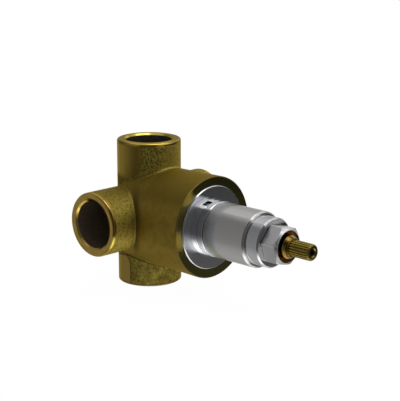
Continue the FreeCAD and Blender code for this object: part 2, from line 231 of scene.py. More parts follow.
def face_centres(mesh: bpy.types.Mesh) -> np.ndarray:
    """Find the middle of each face.

    Args:
        mesh: the mesh that is read.

    Returns:
        Array of faces by three, in mm from the crossing of the waterways.
    """
    centres = np.empty(len(mesh.polygons) * 3)
    mesh.polygons.foreach_get("center", centres)
    return centres.reshape(-1, 3) / MM - (0.0, 0.0, AXIS_HEIGHT)


def turned_piece(name: str, corners: Sequence[Corner], columns: int) -> bpy.types.Object:
    """Turn a rounded half outline about the barrel's axis, as a closed ring.

    Args:
        name: name of the piece.
        corners: (along, radius, round) of each corner of the half outline, in mm.
        columns: points round the ring.

    Returns:
        The piece.
    """
    outline = rounded_outline(corners)
    turn = np.linspace(0, 2 * np.pi, columns, endpoint=False)
    return grid_piece(name, turned_points(outline[:, :1], outline[:, 1:], turn[None]), close_rows=True)


def ringed_piece(name: str, rows: Sequence[Row], turn: np.ndarray, close_rows: bool, sharp: float) -> bpy.types.Object:
    """Make a piece from rows that go round the barrel's axis.

    Args:
        name: name of the piece.
        rows: the rows from back to front and in again.
        turn: angle of each column, in radians.
        close_rows: whether the last row joins the first.
        sharp: angle in degrees past which an edge is shaded sharp.

    Returns:
        The piece, shaded by the area of its faces.
    """
    along = np.stack([np.broadcast_to(place, turn.shape) for place, _ in rows])
    radius = np.stack([reach for _, reach in rows])
    piece = grid_piece(name, turned_points(along, radius, turn[None]), close_rows, sharp)
    weigh_normals(piece)
    return piece


# ---------------------------------------------------------------- shader maths


class Value:
    """A number that varies over a surface. Arithmetic on it adds Math nodes."""

    def __init__(self, sheet: NodeSheet, socket: bpy.types.NodeSocket) -> None:
        """Wrap an output socket of a node tree."""
        self.sheet = sheet
        self.socket = socket

    def _math(self, operation: str, *others: Value | float, clamp: bool = False) -> Value:
        """Add a Math node with this value first.

        Args:
            operation: Blender's name of the operation.
            others: the further values.
            clamp: whether the result is kept from 0 to 1.

        Returns:
            The result.
        """
        values = dict(enumerate((self, *others)))
        made = self.sheet.node("ShaderNodeMath", {"operation": operation, "use_clamp": clamp}, values)
        return Value(self.sheet, made.outputs[0])

    def _reflected(self, operation: str, other: float) -> Value:
        """Add a Math node with a plain number first and this value second."""
        made = self.sheet.node("ShaderNodeMath", {"operation": operation}, {0: other, 1: self})
        return Value(self.sheet, made.outputs[0])

    def __add__(self, other: Value | float) -> Value:
        """Add."""
        return self._math("ADD", other)

    def __radd__(self, other: float) -> Value:
        """Add to a plain number."""
        return self._reflected("ADD", other)

    def __sub__(self, other: Value | float) -> Value:
        """Subtract."""
        return self._math("SUBTRACT", other)

    def __rsub__(self, other: float) -> Value:
        """Subtract from a plain number."""
        return self._reflected("SUBTRACT", other)

    def __mul__(self, other: Value | float) -> Value:
        """Multiply."""
        return self._math("MULTIPLY", other)

    def __rmul__(self, other: float) -> Value:
        """Multiply a plain number."""
        return self._reflected("MULTIPLY", other)

    def __pow__(self, other: Value | float) -> Value:
        """Raise to a power."""
        return self._math("POWER", other)

    def __neg__(self) -> Value:
        """Negate."""
        return self._math("MULTIPLY", -1.0)

    def size(self) -> Value:
        """The value without its sign."""
        return self._math("ABSOLUTE")

    def most(self, other: Value | float) -> Value:
        """The larger of two values."""
        return self._math("MAXIMUM", other)

    def clamped(self) -> Value:
        """The value, kept from 0 to 1."""
        return self._math("ADD", 0.0, clamp=True)

    def rise(self, low: float, high: float) -> Value:
        """Turn the value into a mask: 0 up to low, 1 past high, and a smooth step between.

        Args:
            low: where the mask starts; it may be the larger of the two.
            high: where the mask is full.

        Returns:
            The mask.
        """
        settings = {"interpolation_type": "SMOOTHSTEP"}
        made = self.sheet.node("ShaderNodeMapRange", settings, {"Value": self, "From Min": low, "From Max": high})
        return Value(self.sheet, made.outputs["Result"])


Input = Value | bpy.types.NodeSocket | float | Sequence[float]


class NodeSheet:
    """A node tree under construction. Every node comes from its one method."""

    def __init__(self, tree: bpy.types.NodeTree, output: str) -> None:
        """Empty a tree and give it its output.

        Args:
            tree: the node tree of a material or of the world.
            output: Blender's name of the output node's type.
        """
        self.tree = tree
        self.tree.nodes.clear()
        self.output = self.node(output, {}, {})

    def node(self, kind: str, settings: Mapping[str, object], inputs: Mapping[str | int, Input]) -> bpy.types.Node:
        """Add a node.

        Args:
            kind: Blender's name of the node type.
            settings: properties to set first; stops sets the colours of a ramp.
            inputs: value or link of each socket, by name or number.

        Returns:
            The new node.
        """
        made = self.tree.nodes.new(kind)
        for key, value in settings.items():
            if key == "stops":
                self._set_stops(made.color_ramp, value)
            else:
                setattr(made, key, value)
        for key, value in inputs.items():
            if isinstance(value, Value):
                value = value.socket
            if isinstance(value, bpy.types.NodeSocket):
                self.tree.links.new(value, made.inputs[key])
            else:
                made.inputs[key].default_value = value
        return made

    @staticmethod
    def _set_stops(ramp: bpy.types.ColorRamp, stops: Sequence[tuple[float, Colour]]) -> None:
        """Give a ramp its places and colours.

        Args:
            ramp: the ramp of a new node.
            stops: (place, colour) of each stop, in order.
        """
        while len(ramp.elements) < len(stops):
            ramp.elements.new(0.5)
        for element, (place, colour) in zip(ramp.elements, stops):
            element.position = place
            element.color = (*colour, 1.0)

    def seen_directly(self) -> Value:
        """Tell the rays that see the backdrop itself from those that light the object.

        Returns:
            1 for a camera, glossy or transmission ray, and 0 for any other.
        """
        rays = self.node("ShaderNodeLightPath", {}, {})
        camera, glossy, through = (
            Value(self, rays.outputs[f"Is {ray} Ray"]) for ray in ("Camera", "Glossy", "Transmission")
        )
        return (camera + glossy + through).clamped()

    def close(self, shader: bpy.types.Node) -> None:
        """Lead the last shader to the output."""
        self.tree.links.new(shader.outputs[0], self.output.inputs["Surface"])


class Recipe(NodeSheet):
    """A material under construction."""

    def __init__(self, name: str) -> None:
        """Start an empty material.

        Args:
            name: name of the material.
        """
        self.material = bpy.data.materials.new(name)
        self.material.use_nodes = True
        super().__init__(self.material.node_tree, "ShaderNodeOutputMaterial")
        self._point: bpy.types.NodeSocket | None = None

    def point(self) -> bpy.types.NodeSocket:
        """Find the place on the object, with one pair of nodes for the whole material.

        Returns:
            The place in mm, measured from the crossing of the waterways.
        """
        if self._point is None:
            coordinates = self.node("ShaderNodeTexCoord", {}, {})
            moved = self.node(
                "ShaderNodeMapping",
                {"vector_type": "POINT"},
                {
                    "Vector": coordinates.outputs["Object"],
                    "Location": (0.0, 0.0, -AXIS_HEIGHT),
                    "Scale": (1 / MM, 1 / MM, 1 / MM),
                },
            )
            self._point = moved.outputs["Vector"]
        return self._point

    def places(self) -> tuple[Value, Value, Value]:
        """The x, y and z of the place on the object, in mm."""
        split = self.node("ShaderNodeSeparateXYZ", {}, {0: self.point()})
        return tuple(Value(self, socket) for socket in split.outputs)

    def stretched(self, scale: Sequence[float]) -> bpy.types.NodeSocket:
        """The place on the object, scaled along each axis."""
        made = self.node("ShaderNodeMapping", {}, {"Vector": self.point(), "Scale": tuple(scale)})
        return made.outputs["Vector"]

    def noise(self, size: float, detail: float = 3.0, roughness: float = 0.5, at: Input | None = None) -> Value:
        """Make cloudy noise.

        Args:
            size: about how wide its patches are, in mm.
            detail: octaves of finer noise.
            roughness: how strong the finer noise is.
            at: the place that is looked up, if not the place on the object.

        Returns:
            The noise, from 0 to 1.
        """
        vector = self.point() if at is None else at
        inputs = {"Vector": vector, "Scale": 1 / size, "Detail": detail, "Roughness": roughness}
        return Value(self, self.node("ShaderNodeTexNoise", {}, inputs).outputs[0])

    def line_noise(self, along: Value, size: float, detail: float = 2.0) -> Value:
        """Make noise that varies with one value only, such as a tool's marks.

        Args:
            along: the value that it varies with, in mm.
            size: about how wide its marks are, in mm.
            detail: octaves of finer noise.

        Returns:
            The noise, from 0 to 1.
        """
        settings = {"noise_dimensions": "1D"}
        inputs = {"W": along, "Scale": 1 / size, "Detail": detail}
        return Value(self, self.node("ShaderNodeTexNoise", settings, inputs).outputs[0])

    def blend(self, share: Input, first: Input, second: Input) -> bpy.types.NodeSocket:
        """Mix two colours.

        Args:
            share: how much of the second, clamped from 0 to 1.
            first: the colour at share 0.
            second: the colour at share 1.

        Returns:
            The mixed colour.
        """
        made = self.node("ShaderNodeMix", {"data_type": "RGBA", "clamp_factor": True}, {0: share})
        for key, colour in ((6, first), (7, second)):
            if isinstance(colour, bpy.types.NodeSocket):
                self.tree.links.new(colour, made.inputs[key])
            else:
                made.inputs[key].default_value = (*colour, 1.0)
        return made.outputs[2]

    def bump(self, height: Value, depth: float, under: bpy.types.NodeSocket | None = None) -> bpy.types.NodeSocket:
        """Raise a relief.

        Args:
            height: from 0 to 1.
            depth: how high 1 stands over 0, in mm.
            under: the relief below, if any.

        Returns:
            The normal with the relief.
        """
        inputs: dict[str | int, Input] = {"Strength": 1.0, "Distance": depth * MM, "Height": height}
        if under is not None:
            inputs["Normal"] = under
        return self.node("ShaderNodeBump", {}, inputs).outputs["Normal"]

    def shade(self, inputs: Mapping[str | int, Input]) -> bpy.types.Material:
        """Close the material with one Principled shader.

        Args:
            inputs: value or link of each of the shader's sockets.

        Returns:
            The finished material.
        """
        self.close(self.node("ShaderNodeBsdfPrincipled", {}, inputs))
        return self.material


def distance_from_axis(recipe: Recipe, axis: Axis) -> tuple[Value, Value]:
    """Measure a place from a turning axis.

    Args:
        recipe: the material under construction.
        axis: the turning axis.

    Returns:
        How far the place is from the axis, and how far along it, in mm.
    """
    x, y, z = recipe.places()
    along, first, second = {Axis.ACROSS: (x, y, z), Axis.BARREL: (y, x, z), Axis.UPRIGHT: (z, x, y)}[axis]
    return (first * first + second * second) ** 0.5, along


# ---------------------------------------------------------------- finishes
#
# A span is where a mask starts and where it is full: in mm from the crossing of the waterways, or from
# 0 to 1 on a noise. A share is how much of a colour its mask puts on, a relief is how much of the bump's
# depth its noise takes, and a roughness named after a noise or a mask is what that one adds.


@dataclass(frozen=True)
class Layer:
    """A colour that lies where a value passes from its start to its full, up to its share."""

    colour: Colour
    start: float
    full: float
    share: float = 1.0

    def lay(self, r: Recipe, under: Input, value: Value, where: Value | float = 1.0) -> bpy.types.NodeSocket:
        """Lay the colour over another.

        Args:
            r: the material under construction.
            under: the colour below.
            value: what the start and the full are measured on.
            where: a mask that limits the layer.

        Returns:
            The colour with the layer on it.
        """
        return r.blend(value.rise(self.start, self.full) * where * self.share, under, self.colour)


@dataclass(frozen=True)
class CastPlaces:
    """What the masks of the cast skin are made from: places in mm, and masks and noises from 0 to 1."""

    x: Value
    z: Value
    forward: Value
    from_barrel: Value
    from_side: Value
    from_seam: Value
    on_port: Value
    front_half: Value
    grainy: Value
    sideways: Value
    left: Value
    low: Value
    patches: Value
    grain: Value
    fine: Value


# colours of the cast skin: tarnish that also serves as painted shade, and lighter brasses for painted light
TARNISH_AND_SHADE: Colour = (0.2, 0.14, 0.024)
LIT_BRASS: Colour = (0.5, 0.43, 0.09)
SIDE_LIT: Colour = (0.62, 0.45, 0.095)


@dataclass(frozen=True)
class CastSkin:
    """Rough skin of the sand-cast body: blasted sockets, a smoother barrel and a parting line."""

    smooth_colour: Colour = (0.42, 0.305, 0.055)
    brown_colour: Colour = (0.42, 0.27, 0.058)
    pit_colour: Colour = (0.1, 0.08, 0.024)
    seam_and_shade_colour: Colour = (0.05, 0.034, 0.012)
    turned_colour: Colour = (0.36, 0.2, 0.035)
    sheen: Tint = (1.0, 0.88, 0.55, 1.0)
    roughness: float = 0.58
    smooth_by: float = 0.3
    smooth_half_share: float = 0.7
    patch_roughness: float = 0.1
    grain_size: float = 0.9
    fine_size: float = 0.36
    grain_depth: float = 0.15
    coarse_relief: float = 0.8
    fine_relief: float = 0.3
    patch_relief: float = 0.1
    smooth_relief: float = 0.15
    patch_size: float = 3.2
    drift_size: float = 11.0
    drift_start: float = 0.3
    drift_gain: float = 1.6
    barrel_radius: float = 23.6
    port_root: Span = (-0.3, 1.0)
    port_front: Span = (17.0, 15.0)
    seam_place: float = 2.4
    seam_bend: float = 3.2
    seam_bend_heights: Span = (-23.5, -16.5)
    seam_heights: Span = (-12.0, -14.0)
    seam_span: Span = (0.35, 0.105)
    seam_depth: float = 0.12
    seam_share: float = 0.7
    front_span: Span = (-0.1, 0.1)
    back_browned: float = 0.5
    side_turned: float = 35.0
    top_turned: float = 34.7
    bottom_turned: float = 32.0
    turned_soft: float = 0.15
    turned_share: float = 0.85
    bottom_turned_share: float = 0.3
    worn_heights: Span = (18.0, 22.0)
    worn_front: Span = (11.5, 5.0)
    left_ends: Span = (16.0, 20.0)
    low_heights: Span = (-17.0, -21.0)
    side_span: Span = (5.0, 13.5)
    top_heights: Span = (9.0, 16.0)
    port_top_heights: Span = (4.0, 13.0)
    port_end_heights: Span = (22.0, 25.0)
    port_end_share: float = 0.5
    under_heights: Span = (-8.0, -15.0)
    top_share: float = 0.86
    under_share: float = 0.3
    low_share: float = 0.45
    low_patch_share: float = 0.4
    crest_levels: Span = (0.44, 0.62)
    crest_share: float = 0.85
    crest_base: float = 0.1
    left_crests: float = 0.3
    left_base: float = 0.12
    left_heights: Span = (6.0, 13.0)
    left_top_share: float = 0.5
    pit_levels: Span = (0.46, 0.32)
    pit_share: float = 0.8
    left_pits: float = 0.2
    left_pit_shift: float = 0.03
    fine_pit_levels: Span = (0.45, 0.25)
    fine_pit_share: float = 0.2
    root_middle: float = 1.6
    root_heights: Span = (14.0, 18.0)
    root_front: Span = (4.0, 12.0)
    beside_side: Span = (21.0, 16.0)
    beside_front: Span = (6.0, 13.0)
    beside_barrel: Span = (0.4, 0.1)
    beside_left: Span = (8.0, 14.0)
    beside_share: float = 0.7
    corner_middle: float = 0.55
    corner_width: Span = (0.9, 0.15)
    corner_heights: Span = (14.0, 8.0)
    corner_low_heights: Span = (-12.0, -16.0)
    corner_share: float = 0.6
    corner_low_share: float = 0.25
    patch_tarnish: Layer = Layer(TARNISH_AND_SHADE, 0.42, 0.68, 0.3)
    side_light: Layer = Layer(SIDE_LIT, 18.0, 22.0, 0.8)
    low_crests: Layer = Layer(SIDE_LIT, 0.48, 0.6, 0.8)
    low_tarnish: Layer = Layer(TARNISH_AND_SHADE, 0.5, 0.36, 0.5)
    low_lit_specks: Layer = Layer((0.78, 0.62, 0.13), 0.52, 0.62, 0.6)
    low_back: Layer = Layer((0.56, 0.35, 0.09), 0.1, -0.1, 0.6)
    beside_seam: Layer = Layer(TARNISH_AND_SHADE, 5.5, 0.5, 0.5)
    root_light: Layer = Layer(LIT_BRASS, 2.0, 0.2, 0.45)

    def make(self) -> bpy.types.Material:
        """Build the material.

        Returns:
            The material, with its grain, colour drift and parting line on Object coordinates.
        """
        r = Recipe("cast_brass_skin")
        p = self._places(r)
        colour = self._grain_colour(r, p, self._skin_colour(r, p))
        seam = p.from_seam.size().rise(*self.seam_span) * p.on_port * p.z.rise(*self.seam_heights)
        # the parting line and the painted shade in the corners and beside the left socket share one dark colour
        colour = r.blend(self._painted_shade(p).most(seam * self.seam_share), colour, self.seam_and_shade_colour)
        turned = self._turned(p)
        colour = r.blend(turned * self.turned_share, colour, self.turned_colour)
        grain = p.grain * self.coarse_relief + p.fine * self.fine_relief
        grain = grain * (p.grainy * (1 - self.smooth_relief) + self.smooth_relief)
        relief = grain * (1 - turned) + p.patches * self.patch_relief
        smooth = turned.most(p.on_port * (1 - p.front_half) * self.smooth_half_share)
        rough = self.roughness + (p.patches - 0.5) * self.patch_roughness - smooth * self.smooth_by
        return r.shade(
            {
                "Base Color": colour,
                "Metallic": 1.0,
                "Roughness": rough,
                "Normal": r.bump(seam, self.seam_depth, r.bump(relief, self.grain_depth)),
                "Specular Tint": self.sheen,
            }
        )

    def _places(self, r: Recipe) -> CastPlaces:
        """Find the places, masks and noises that the rest shares.

        Formula in words: the seam lies a set distance forward of the sockets' plane and bends back
        towards the foot of the lower socket. The front half of a socket is what lies forward of it.

        Args:
            r: the material under construction.

        Returns:
            The places, masks and noises.
        """
        x, y, z = r.places()
        forward = -y
        from_barrel = (x * x + z * z) ** 0.5 - self.barrel_radius
        from_seam = forward - (self.seam_place - self.seam_bend * z.rise(*self.seam_bend_heights))
        on_port = from_barrel.rise(*self.port_root) * forward.rise(*self.port_front)
        front_half = from_seam.rise(*self.front_span)
        worn_top = z.rise(*self.worn_heights) * forward.rise(*self.worn_front)
        return CastPlaces(
            x=x,
            z=z,
            forward=forward,
            from_barrel=from_barrel,
            from_side=(y * y + z * z) ** 0.5,
            from_seam=from_seam,
            on_port=on_port,
            front_half=front_half,
            grainy=on_port * front_half * (1 - worn_top),
            sideways=((x + forward).size() * DIAGONAL).rise(*self.side_span),
            left=(-x).rise(*self.left_ends),
            low=on_port * z.rise(*self.low_heights),
            patches=r.noise(self.patch_size, 3.0, 0.55),
            grain=r.noise(self.grain_size, 2.0, 0.6),
            fine=r.noise(self.fine_size, 2.0, 0.6),
        )

    def _skin_colour(self, r: Recipe, p: CastPlaces) -> bpy.types.NodeSocket:
        """Colour the skin: brown drift, painted shade on top and underneath, painted light on sides and lower socket.

        Args:
            r: the material under construction.
            p: the skin's places.

        Returns:
            The colour before the grain.
        """
        drift = (r.noise(self.drift_size, 2.0) - self.drift_start) * self.drift_gain
        darker_share = drift + p.on_port * (1 - p.front_half) * self.back_browned
        on_top = p.z.rise(*self.top_heights).most(p.on_port * p.z.rise(*self.port_top_heights))
        on_top = on_top * (1 - p.on_port * p.z.rise(*self.port_end_heights) * p.sideways * self.port_end_share)
        under = p.z.rise(*self.under_heights) * (1 - p.on_port)
        colour = r.blend(darker_share, self.smooth_colour, self.brown_colour)
        colour = self.patch_tarnish.lay(r, colour, p.patches, 1 - p.grainy)
        # painted shade: the top of the casting and the barrel's underside are darker
        colour = r.blend(on_top * self.top_share + under * self.under_share, colour, TARNISH_AND_SHADE)
        # painted light: the lower socket is lighter in patches
        colour = r.blend(p.low * (self.low_share + p.patches * self.low_patch_share), colour, LIT_BRASS)
        return self.side_light.lay(r, colour, p.z, p.on_port * p.sideways)

    def _grain_colour(self, r: Recipe, p: CastPlaces, colour: Input) -> bpy.types.NodeSocket:
        """Put the blasted grain on: painted highlights on its crests, painted light and tarnish in patches on the
        lower socket, pits and a lit root.

        Args:
            r: the material under construction.
            p: the skin's places.
            colour: the colour below.

        Returns:
            The colour with the grain.
        """
        crests = p.grain.rise(*self.crest_levels) * (self.crest_share - p.left * self.left_crests)
        crests = crests + self.crest_base + p.left * self.left_base
        crests = p.grainy * crests * (1 - p.left * p.z.rise(*self.left_heights) * self.left_top_share)
        pits = (p.grain - p.left * self.left_pit_shift).rise(*self.pit_levels)
        pits = p.grainy * pits * (self.pit_share - p.left * self.left_pits)
        root = p.z.rise(*self.root_heights) * p.forward.rise(*self.root_front) * p.on_port
        below = p.low * p.grainy
        # painted highlights on the grain's crests
        colour = r.blend(crests, colour, LIT_BRASS)
        # painted light on the lower socket's crests and specks, with tarnish in patches between
        colour = self.low_crests.lay(r, colour, p.grain, below)
        colour = self.low_tarnish.lay(r, colour, p.patches, below)
        colour = self.low_lit_specks.lay(r, colour, p.patches, below)
        colour = self.low_back.lay(r, colour, p.from_seam, p.low)
        colour = self.beside_seam.lay(r, colour, p.from_seam, p.low * p.front_half)
        pits = pits + p.fine.rise(*self.fine_pit_levels) * self.fine_pit_share
        colour = r.blend(pits, colour, self.pit_colour)
        # painted light along the front of the top socket's root
        return self.root_light.lay(r, colour, (p.from_barrel - self.root_middle).size(), root)

    def _painted_shade(self, p: CastPlaces) -> Value:
        """Find the painted shade beside the left socket's root and in the corners round the sockets.

        Args:
            p: the skin's places.

        Returns:
            The mask.
        """
        beside = p.from_side.rise(*self.beside_side) * p.forward.rise(*self.beside_front)
        beside = beside * p.from_barrel.rise(*self.beside_barrel) * (-p.x).rise(*self.beside_left)
        corner = (p.from_barrel - self.corner_middle).size().rise(*self.corner_width) * p.on_port
        low = p.z.rise(*self.corner_low_heights) * self.corner_low_share
        corner = corner * p.z.rise(*self.corner_heights) * (self.corner_share + low)
        return (beside * self.beside_share).most(corner)

    def _turned(self, p: CastPlaces) -> Value:
        """Find the bands at the sockets' ends that a lathe has cut.

        Args:
            p: the skin's places.

        Returns:
            The mask.
        """
        soft = self.turned_soft
        side = p.x.size().rise(self.side_turned - soft, self.side_turned + soft)
        top = p.z.rise(self.top_turned - soft, self.top_turned + soft)
        bottom = (-p.z).rise(self.bottom_turned - soft, self.bottom_turned + soft)
        return side.most(top).most(bottom * self.bottom_turned_share)


@dataclass(frozen=True)
class TurnedBrass:
    """Brass cut on a lathe, with a tool's fine rings about its axis.

    A side socket's end has painted shade along the front of its edge, a painted highlight below that,
    and painted shade round the mouth of its bore. The top socket's end can have painted shade at its two
    sides. As they stand, the edge's start lies past every piece, the mouth's end is on the axis and the
    sides have no share, so that plain brass has none of these marks.
    """

    axis: Axis
    name: str = "turned_brass"
    colour: Colour = (0.6, 0.46, 0.09)
    dull_colour: Colour = (0.44, 0.29, 0.055)
    roughness: float = 0.14
    tarnish_size: float = 3.5
    tarnish_levels: Span = (0.35, 0.75)
    tarnish_share: float = 0.7
    tool_share: float = 0.2
    tarnish_roughness: float = 0.08
    tool_roughness: float = 0.06
    ring_size: float = 0.22
    ring_slant: float = 1.37
    ring_depth: float = 0.003
    sheen: Tint = (1.0, 0.84, 0.45, 1.0)
    edge_start: float = 99.0
    edge_front: Span = (1.0, 8.0)
    edge_share: float = 0.9
    painted_edge_shade: Colour = (0.17, 0.1, 0.022)
    edge_shade_heights: Span = (-3.8, -2.2)
    faded_heights: Span = (10.0, 8.0)
    faded_share: float = 0.55
    painted_edge_highlight: Colour = (0.72, 0.62, 0.1)
    edge_highlight_end: Span = (-8.5, -10.0)
    lower_fade: float = 0.35
    mouth_end: float = 0.0
    painted_mouth_shade: Colour = (0.035, 0.025, 0.014)
    mouth_span: Span = (1.5, 5.0)
    mouth_up: float = 0.5
    mouth_forward: float = 0.87
    mouth_share: float = 0.95
    side_shade_share: float = 0.0
    sides_span: Span = (8.5, 12.5)
    painted_side_shade: Colour = (0.15, 0.13, 0.06)

    def make(self) -> bpy.types.Material:
        """Build the material.

        Returns:
            The material, named after its axis.
        """
        r = Recipe(f"{self.name}_about_{self.axis.value}")
        distance, along = distance_from_axis(r, self.axis)
        tool = r.line_noise(distance + along * self.ring_slant, self.ring_size, 3.0)
        tarnish = r.noise(self.tarnish_size, 4.0, 0.6)
        x, y, z = r.places()
        dulled = tarnish.rise(*self.tarnish_levels) * self.tarnish_share + tool * self.tool_share
        colour = r.blend(dulled, self.colour, self.dull_colour)
        # painted shade at the left and right sides of the top socket's end
        sides = ((x - y).size() * DIAGONAL).rise(*self.sides_span)
        colour = r.blend(sides * self.side_shade_share, colour, self.painted_side_shade)
        # painted shade along the front of a side socket's edge, with a painted highlight below it
        lower = z.rise(*self.edge_highlight_end)
        edge = distance.rise(self.edge_start, self.edge_start + 0.3) * (-y).rise(*self.edge_front)
        edge = edge * (z.rise(*self.faded_heights) * (1 - self.faded_share) + self.faded_share)
        edge = edge * (self.edge_share - lower * self.lower_fade)
        darker_share = z.rise(*self.edge_shade_heights).most(lower)
        colour = r.blend(edge, colour, r.blend(darker_share, self.painted_edge_highlight, self.painted_edge_shade))
        # painted shade round the mouth of a side socket's bore, towards the top and the front
        shaded = (z * self.mouth_up - y * self.mouth_forward).rise(*self.mouth_span)
        shaded = shaded * distance.rise(self.mouth_end + 0.1, self.mouth_end - 0.2)
        colour = r.blend(shaded * self.mouth_share, colour, self.painted_mouth_shade)
        rough = self.roughness + tarnish.rise(0.3, 0.8) * self.tarnish_roughness
        rough = rough + (tool - 0.5) * self.tool_roughness
        return r.shade(
            {
                "Base Color": colour,
                "Metallic": 1.0,
                "Roughness": rough,
                "Normal": r.bump(tool, self.ring_depth),
                "Specular Tint": self.sheen,
            }
        )


@dataclass(frozen=True)
class MouthFace:
    """Faced end of the barrel: olive black, with a painted highlight at its left and painted shade on its outer edge.
    """

    colour: Colour = (0.24, 0.215, 0.06)
    patch_and_highlight_colour: Colour = (0.58, 0.43, 0.078)
    painted_rim_shade: Colour = (0.19, 0.138, 0.036)
    roughness: float = 0.13
    rough_by: float = 0.42
    highlight_reach: Span = (20.7, 21.9)
    highlight_ragged: float = 1.2
    highlight_sides: Span = (-14.0, -20.0)
    highlight_middle: float = -2.4
    highlight_height: Span = (7.5, 1.0)
    upper_sides: Span = (-12.5, -15.0)
    upper_heights: Span = (12.0, 15.5)
    faint_heights: Span = (-12.0, -6.0)
    faint_share: float = 0.3
    edge_reach: Span = (23.5, 23.8)
    edge_highlight_cut: float = 0.4
    edge_share: float = 0.9
    ring_size: float = 0.22
    ring_depth: float = 0.001

    def make(self) -> bpy.types.Material:
        """Build the material.

        Returns:
            The material.
        """
        r = Recipe("barrel_mouth_face")
        x, _, z = r.places()
        distance, _ = distance_from_axis(r, Axis.BARREL)
        tool = r.line_noise(distance, self.ring_size, 3.0)
        tarnish = r.noise(3.5, 4.0, 0.6)
        at_left = x.rise(*self.highlight_sides)
        upper = x.rise(*self.upper_sides) * z.rise(*self.upper_heights)
        bright = upper.most((z - self.highlight_middle).size().rise(*self.highlight_height) * at_left)
        faint = z.rise(*self.faint_heights) * at_left * self.faint_share
        # painted highlight in patches at the left, where the face is also rougher
        highlight = (distance + tarnish * self.highlight_ragged).rise(*self.highlight_reach) * bright.most(faint)
        # painted shade on the outer edge, weaker under the painted highlight
        edge = distance.rise(*self.edge_reach) * (1 - bright * self.edge_highlight_cut)
        colour = r.blend(highlight, self.colour, self.patch_and_highlight_colour)
        colour = r.blend(edge * self.edge_share, colour, self.painted_rim_shade)
        rough = self.roughness + highlight.most(edge) * self.rough_by + (tarnish - 0.5) * 0.06
        normal = r.bump(tool, self.ring_depth)
        return r.shade({"Base Color": colour, "Metallic": 1.0, "Roughness": rough, "Normal": normal})


@dataclass(frozen=True)
class DarkBore:
    """Reamed inside of the casting, with painted shade that keeps it nearly black."""

    axis: Axis
    colour: Colour = (0.1, 0.075, 0.05)
    patch_and_highlight_colour: Colour = (0.2, 0.14, 0.08)
    roughness: float = 0.45
    metallic: float = 0.3
    ring_size: float = 0.35
    ring_depth: float = 0.012

    def make(self) -> bpy.types.Material:
        """Build the material.

        Returns:
            The material, named after its axis.
        """
        r = Recipe("dark_bore_about_" + self.axis.value)
        along = dict(zip(Axis, r.places()))[self.axis]
        tool = r.line_noise(along, self.ring_size, 3.0)
        oxide = r.noise(2.2, 4.0, 0.6)
        # the dark colours are painted shade, with lighter patches and tool rings
        colour = r.blend(oxide.rise(0.4, 0.75) * 0.5 + tool * 0.25, self.colour, self.patch_and_highlight_colour)
        rough = self.roughness + oxide * 0.15
        normal = r.bump(tool, self.ring_depth)
        return r.shade({"Base Color": colour, "Metallic": self.metallic, "Roughness": rough, "Normal": normal})


@dataclass(frozen=True)
class PolishedBrass:
    """Drawn and polished brass of the spindle, with painted shade between its teeth, in its neck and in
    its hole, a painted shadow on top of its shoulder and a painted highlight on its tip.
    """

    colour: Colour = (0.5, 0.38, 0.075)
    smear_and_root_shade: Colour = (0.11, 0.06, 0.013)
    shoulder_colour: Colour = (0.44, 0.31, 0.065)
    crown_shade_colour: Colour = (0.16, 0.1, 0.022)
    crown_heights: Span = (0.5, 3.0)
    crown_end: Span = (91.9, 91.4)
    neck_shade_colour: Colour = (0.12, 0.07, 0.016)
    neck_reach: Span = (4.93, 4.77)
    hole_shade_colour: Colour = (0.03, 0.02, 0.01)
    hole_reach: Span = (2.02, 1.97)
    hole_start: Span = (103.2, 102.9)
    roughness: float = 0.07
    smear_roughness: float = 0.06
    root_roughness: float = 0.12
    hole_roughness: float = 0.2
    smear_size: float = 1.8
    smear_levels: Span = (0.45, 0.8)
    smear_share: float = 0.25
    ring_size: float = 0.18
    ring_depth: float = 0.001
    root_reach: Span = (3.77, 3.45)
    root_start: Span = (92.4, 92.6)
    root_share: float = 0.75
    behind_spline: Span = (92.7, 92.4)
    tip: Layer = Layer((0.8, 0.66, 0.16), 102.8, 103.2)

    def make(self) -> bpy.types.Material:
        """Build the material.

        Returns:
            The material.
        """
        r = Recipe("polished_spindle_brass")
        distance, along = distance_from_axis(r, Axis.BARREL)
        forward = -along
        _, _, z = r.places()
        tool = r.line_noise(along, self.ring_size, 2.0)
        smear = r.noise(self.smear_size, 3.0)
        in_root = distance.rise(*self.root_reach) * forward.rise(*self.root_start)
        in_hole = distance.rise(*self.hole_reach) * forward.rise(*self.hole_start)
        behind = forward.rise(*self.behind_spline)
        on_crown = z.rise(*self.crown_heights) * forward.rise(*self.crown_end)
        on_neck = distance.rise(*self.neck_reach)
        # painted shade between the teeth, with darker smears at random
        darkened = in_root * self.root_share + smear.rise(*self.smear_levels) * self.smear_share
        # painted shadow on top of the shoulder
        shoulder = r.blend(on_crown, self.shoulder_colour, self.crown_shade_colour)
        # painted highlight on the tip
        colour = self.tip.lay(r, self.colour, forward)
        colour = r.blend(darkened, colour, self.smear_and_root_shade)
        # painted shade in the neck behind the spline
        colour = r.blend(behind, colour, r.blend(on_neck, shoulder, self.neck_shade_colour))
        # painted shade in the threaded hole
        colour = r.blend(in_hole, colour, self.hole_shade_colour)
        rough = self.roughness + smear * self.smear_roughness
        rough = rough + in_root * self.root_roughness + in_hole * self.hole_roughness
        normal = r.bump(tool, self.ring_depth)
        return r.shade({"Base Color": colour, "Metallic": 1.0, "Roughness": rough, "Normal": normal})


